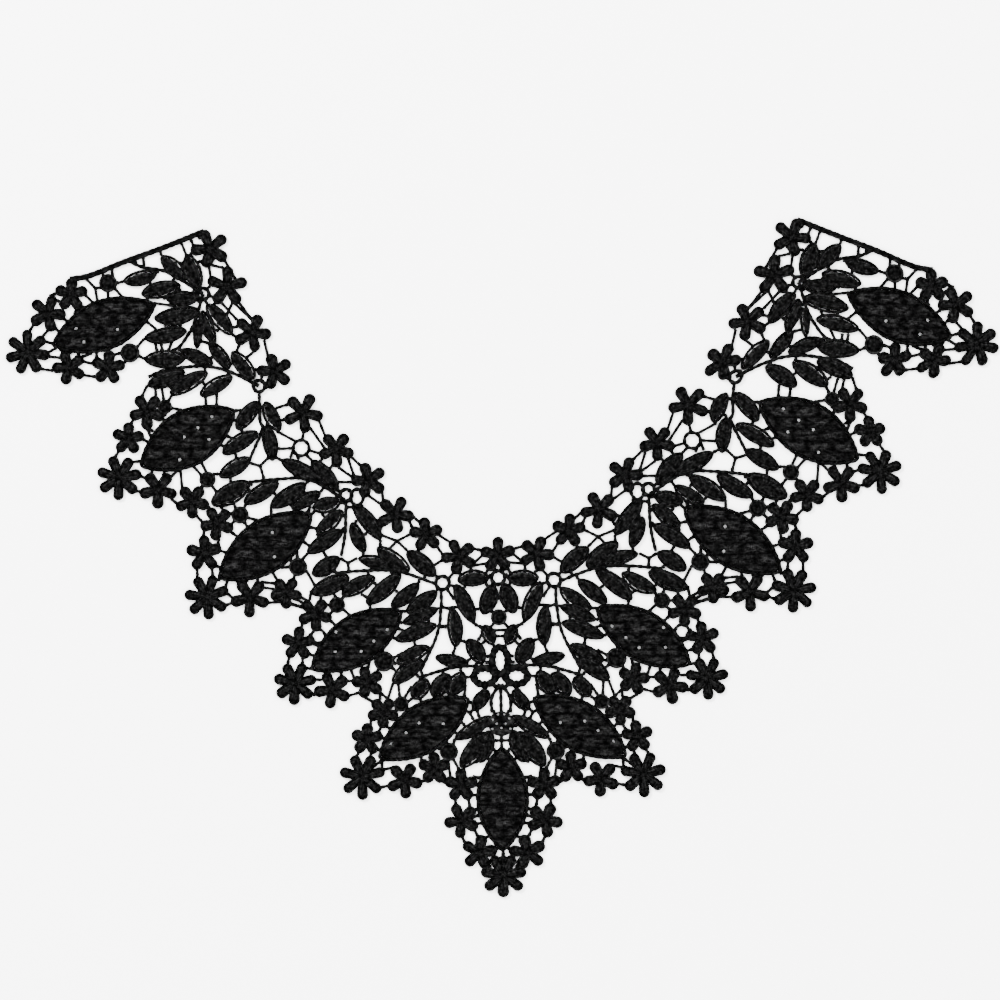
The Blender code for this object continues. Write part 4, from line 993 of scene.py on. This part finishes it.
def strands(nodes, links, source, stretch, tones):
    """A noise drawn out into strands: the source vector times stretch, spread over the tones."""
    longer = nodes.new("ShaderNodeVectorMath")
    longer.operation = "MULTIPLY"
    longer.inputs[1].default_value = (*stretch, 1.0)
    links.new(source, longer.inputs[0])
    noise = with_values(nodes.new("ShaderNodeTexNoise"), Scale=1.0, Detail=NOISE_DETAIL,
                        Roughness=NOISE_ROUGH)
    links.new(longer.outputs["Vector"], noise.inputs["Vector"])
    spread = with_values(nodes.new("ShaderNodeMapRange"), From_Min=NOISE_FROM, From_Max=NOISE_TO,
                         To_Min=tones[0], To_Max=tones[1])
    spread.interpolation_type = "SMOOTHSTEP"
    links.new(noise.outputs["Fac"], spread.inputs["Value"])
    return spread.outputs["Result"]


def combined(nodes, links, operation, first, second):
    """Two values put together by one operation."""
    both = nodes.new("ShaderNodeMath")
    both.operation = operation
    links.new(first, both.inputs[0])
    links.new(second, both.inputs[1])
    return both.outputs["Value"]


def dyed(name):
    """A matt black material, its nodes, links and shader, and its thread coordinates."""
    material = bpy.data.materials.new(name)
    material.use_nodes = True
    nodes, links = material.node_tree.nodes, material.node_tree.links
    shader = with_values(nodes["Principled BSDF"], Roughness=ROUGH, Specular_IOR_Level=GLOSS)
    uv = nodes.new("ShaderNodeUVMap")
    uv.uv_map = "thread"
    return material, nodes, links, shader, uv.outputs["UV"]


def toned(nodes, links, shader, colour, factor):
    """The colour times the factor, as the shader's base."""
    tone = nodes.new("ShaderNodeVectorMath")
    tone.operation = "SCALE"
    links.new(colour, tone.inputs[0])
    links.new(factor, tone.inputs["Scale"])
    links.new(tone.outputs["Vector"], shader.inputs["Base Color"])


def raised(nodes, links, shader, height, strength, distance):
    """Threads that stand out by a height."""
    bump = with_values(nodes.new("ShaderNodeBump"), Strength=strength, Distance=distance)
    links.new(height, bump.inputs["Height"])
    links.new(bump.outputs["Normal"], shader.inputs["Normal"])


def thread(name, shading_bands, light, pitch):
    """Black thread with painted light and shade that follows its place between a motif's edge and
    middle: darker on the steep edge and in the dips, lighter on the raised rings, and round a cord
    lighter on top and darker underneath.

    The band's tone is multiplied by the strand's, from DARKEST to the thread's painted highlight, which
    flecks the strands with painted sheen, by that of a wider patch and by that of a stitch, which
    paints highlights on the stitch ridges and shade between them. The stitches also raise the surface.
    """
    material, nodes, links, shader, uv = dyed(name)
    stitch = with_values(nodes.new("ShaderNodeTexWave"), Scale=WAVE / pitch,
                         Distortion=STITCH_WAVER, Detail=STITCH_DETAIL)
    stitch.wave_type = "BANDS"
    stitch.bands_direction = "X"
    links.new(uv, stitch.inputs["Vector"])
    place = nodes.new("ShaderNodeTexCoord")
    patches = strands(nodes, links, place.outputs["Object"], PATCHES, PATCH_TONES)
    # Painted highlights: flecks of painted sheen along the strands
    strand_highlights = strands(nodes, links, uv, STRANDS, (DARKEST, light))
    apart = nodes.new("ShaderNodeSeparateXYZ")
    links.new(uv, apart.inputs["Vector"])
    # Painted light and shade across the motif, read from the thread map's second coordinate
    ramp = nodes.new("ShaderNodeValToRGB")
    while len(ramp.color_ramp.elements) < len(shading_bands):
        ramp.color_ramp.elements.new(1.0)
    for element, (at, tone) in zip(ramp.color_ramp.elements, shading_bands):
        element.position = at
        element.color = grey(tone)
    links.new(apart.outputs["Y"], ramp.inputs["Fac"])
    # Painted highlights on the stitch ridges and painted shade between them, from the same pattern that
    # raises them
    stitch_highlights = with_values(nodes.new("ShaderNodeMapRange"), To_Min=STITCH_HIGHLIGHT_TONES[0],
                          To_Max=STITCH_HIGHLIGHT_TONES[1])
    links.new(stitch.outputs["Fac"], stitch_highlights.inputs["Value"])
    varied = combined(nodes, links, "MULTIPLY", strand_highlights, patches)
    factor = combined(nodes, links, "MULTIPLY", varied, stitch_highlights.outputs["Result"])
    toned(nodes, links, shader, ramp.outputs["Color"], factor)
    raised(nodes, links, shader, stitch.outputs["Fac"], *STITCH_RAISED)
    return material


def woven(name):
    """Woven thread: bricks of two tones with dark joints, crossed by strands both ways, in patches."""
    material, nodes, links, shader, uv = dyed(name)
    brick = with_values(nodes.new("ShaderNodeTexBrick"), Color1=grey(WOVEN_LIGHT),
                        Color2=grey(WOVEN_DARK), Mortar=grey(WOVEN_JOINT), Scale=1.0,
                        Mortar_Size=JOINT_WIDTH, Mortar_Smooth=1.0, Bias=0.0, Brick_Width=1.0,
                        Row_Height=1.0)
    brick.offset = 0.5
    brick.offset_frequency = 2
    links.new(uv, brick.inputs["Vector"])
    long_way = strands(nodes, links, uv, WEFT, WEAVE_TONES)
    short_way = strands(nodes, links, uv, WARP, WEAVE_TONES)
    crossed = combined(nodes, links, "MAXIMUM", long_way, short_way)
    patches = strands(nodes, links, uv, SLACK, SLACK_TONES)
    varied = combined(nodes, links, "MULTIPLY", crossed, patches)
    toned(nodes, links, shader, brick.outputs["Color"], varied)
    raised(nodes, links, shader, crossed, *WEAVE_RAISED)
    return material


# ---------------------------------------------------------------- the collar

# The cut of a wing and of the centre strip, in metres, and the area inside its outer line
WING_CUT = ((0.264, 0.110), 0.0186)
POINT_CUT = ((0.150, 0.048), 0.0040)
# Half width of the centre strip, and the y in front of which it is that wide
STRIP_STEPS = ((9.5, 12.0), (13.0, -20.0), (20.0, -82.0))


def all_on_side(chunks, side):
    """Every chunk laid on one wing."""
    return [on_side(chunk, side) for chunk in chunks]


def wing(side, hand, wing_bars, made_of):
    """One wing: its lace work, flowers, berries and eyelets, five fillings and the end cord."""
    both = [made_of["leaf"], made_of["cord"]]
    chunks = [*leaves(LEAVES, PADDED, CORDED), bars(wing_bars, CORDED), *stems(STEMS, CORDED)]
    for row in BIG_LEAVES:
        chunks += rim(row, CORDED)
    work = piece(f"lace_work_{hand}", all_on_side(chunks, side), both)
    chunks = [petals(FLOWERS, *FIVE, ONLY), petals(TIPS, *SEVEN, ONLY),
              eyes(np.concatenate((FLOWERS, TIPS)), ONLY)]
    blooms = piece(f"flowers_{hand}", all_on_side(chunks, side), [made_of["petal"]])
    chunks = [rounds(BERRIES, PADDED), *eyelets(EYELETS, CORDED)]
    beads = piece(f"berries_and_eyelets_{hand}", all_on_side(chunks, side), both)
    fills = []
    for number, (row, holes) in enumerate(zip(BIG_LEAVES, PINHOLES), 1):
        fill = piece(f"filling_{hand}_{number}", [on_side(filling(row, holes, ONLY), side)],
                     [made_of["woven"]])
        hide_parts(f"leaf_{hand}_{number}")
        fills.append(fill)
    path = smooth_curve(END_CORD, CORD_STEP)
    shift = normals(path) * CORD_APART / 2
    chunks = [cord((path + s * shift)[None], CORD_WIDTH, CORD_TOP, ONLY) for s in (-1, 1)]
    end = piece(f"corded_end_{hand}", all_on_side(chunks, side), [made_of["cord"]])
    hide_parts(f"end_cord_{hand}")
    for one in (work, blooms, beads):
        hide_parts(f"lace_{hand}")
    return work, [blooms, beads, end, *fills]


def point(centre_bars, middle_bars, made_of):
    """The strip down the centre line, with its hanging leaf."""
    both = [made_of["leaf"], made_of["cord"]]
    chunks = []
    for side in (-1, 1):
        chunks += all_on_side([*leaves(CENTRE_LEAVES, PADDED, CORDED), bars(centre_bars, CORDED),
                               *stems(CENTRE_STEMS, CORDED)], side)
    single = [*rim(POINT_LEAF, CORDED), *stems(AXIS_STEMS, CORDED), bars(middle_bars, CORDED)]
    work = piece("lace_work_point", chunks + all_on_side(single, 0), both)
    chunks = [on_side(petals(POINT_FLOWERS, *FIVE, ONLY), side) for side in (-1, 1)]
    chunks += [on_side(eyes(POINT_FLOWERS, ONLY), side) for side in (-1, 1)]
    single = [petals(NECK_FLOWER, *FIVE, ONLY), petals(POINT_TIP, *SEVEN, ONLY),
              eyes(np.concatenate((NECK_FLOWER, POINT_TIP)), ONLY)]
    blooms = piece("flowers_point", chunks + all_on_side(single, 0), [made_of["petal"]])
    chunks = [on_side(c, side) for c in eyelets(CENTRE_EYELETS, CORDED) for side in (-1, 1)]
    single = [*eyelets(AXIS_EYELETS, CORDED), rounds(CENTRE_KNOT, PADDED)]
    beads = piece("knots_and_eyelets_point", chunks + all_on_side(single, 0), both)
    openwork = piece("openwork_disc", [on_side(disc(*POINT_DISC, DISC_HOLES, ONLY), 0)],
                     [made_of["woven"]])
    fill = piece("filling_point", [on_side(filling(POINT_LEAF, (), ONLY), 0)], [made_of["woven"]])
    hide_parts("leaf_point")
    for one in (work, blooms, beads, openwork):
        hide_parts("lace_point")
    return work, [blooms, beads, openwork, fill]


def in_point(a, b):
    """Whether a bar belongs to the centre strip, by its middle."""
    x, y = (a + b) / 2
    return any(x < wide and y < start for wide, start in STRIP_STEPS)


def collar():
    """All pieces, each riding on the root."""
    # Each thread's tone carries painted light and shade and painted highlights
    made_of = {
        "leaf": thread("leaf satin thread", LEAF_PAINTED_SHADING, LEAF_HIGHLIGHT, SATIN_PITCH),
        "petal": thread("petal satin thread", PETAL_PAINTED_SHADING, PETAL_HIGHLIGHT, SATIN_PITCH),
        "cord": thread("twisted cord thread", CORD_PAINTED_SHADING, CORD_HIGHLIGHT, TWIST_PITCH),
        "woven": woven("woven filling thread"),
    }
    outer, middle = all_bars()
    wing_bars = [pair for pair in outer if not in_point(*pair)]
    centre_bars = [pair for pair in outer if in_point(*pair)]
    made = [wing(-1, "left", wing_bars, made_of), wing(1, "right", wing_bars, made_of),
            point(centre_bars, middle, made_of)]
    for (work, on_it), (flat, area) in zip(made, (WING_CUT, WING_CUT, POINT_CUT)):
        for one in (work, *on_it):
            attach(one, "root")


# ---------------------------------------------------------------- stage, in metres

FLOOR_REACH, FLOOR_DROP = 3.0, 0.0002   # half its width, and how far it lies under the collar
FLOOR_TONE, FLOOR_ROUGH, FLOOR_GLOSS = 0.95, 0.9, 0.1
SKY = 3.0                               # its strength
LAMPS = ((-1.1, 1.2, 200), (1.2, 0.9, 70), (0.9, -1.2, 45), (-1.0, -1.1, 45))   # x, y, watts
LAMP_HEIGHT, LAMP_SIZE = 1.5, 0.6
FRAMED = 0.41667        # width of the view, at the height FRAMED_AT
FRAMED_AT = 0.0012
VIEW_MIDDLE = (-0.00122, 0.02483)
VIEW_TURN = math.radians(-0.733)
LENS, SENSOR, VIEW_END = 200, 36, 20    # both in millimetres, and how far the camera sees


def stage():
    """A pale surface, a soft sky and four wide lamps, each turned to the middle of the surface."""
    mesh = bpy.data.meshes.new("surface")
    mesh.from_pydata([(x * FLOOR_REACH, y * FLOOR_REACH, -FLOOR_DROP)
                      for x, y in ((-1, -1), (1, -1), (1, 1), (-1, 1))], [], [(0, 1, 2, 3)])
    floor = bpy.data.objects.new("surface", mesh)
    bpy.context.scene.collection.objects.link(floor)
    material = bpy.data.materials.new("pale surface")
    material.use_nodes = True
    with_values(material.node_tree.nodes["Principled BSDF"], Base_Color=grey(FLOOR_TONE),
                Roughness=FLOOR_ROUGH, Specular_IOR_Level=FLOOR_GLOSS)
    mesh.materials.append(material)
    world = bpy.data.worlds.new("soft sky")
    world.use_nodes = True
    with_values(world.node_tree.nodes["Background"], Color=grey(1), Strength=SKY)
    bpy.context.scene.world = world
    for number, (x, y, power) in enumerate(LAMPS):
        lamp = bpy.data.lights.new(f"soft lamp {number}", "AREA")
        lamp.size = LAMP_SIZE
        lamp.energy = power
        light = bpy.data.objects.new(f"soft lamp {number}", lamp)
        light.location = (x, y, LAMP_HEIGHT)
        tilt = math.atan2(math.hypot(x, y), LAMP_HEIGHT)
        light.rotation_euler = (tilt, 0, math.atan2(y, x) + math.pi / 2)
        bpy.context.scene.collection.objects.link(light)


def camera():
    """Straight above, turned by the angle at which the collar lies."""
    lens = bpy.data.cameras.new("camera")
    lens.lens = LENS
    lens.sensor_width = SENSOR
    lens.clip_end = VIEW_END
    eye = bpy.data.objects.new("camera", lens)
    eye.location = (*VIEW_MIDDLE, FRAMED * lens.lens / lens.sensor_width + FRAMED_AT)
    eye.rotation_euler = (0, 0, VIEW_TURN)
    bpy.context.scene.collection.objects.link(eye)
    bpy.context.scene.camera = eye


stage()
collar()
camera()
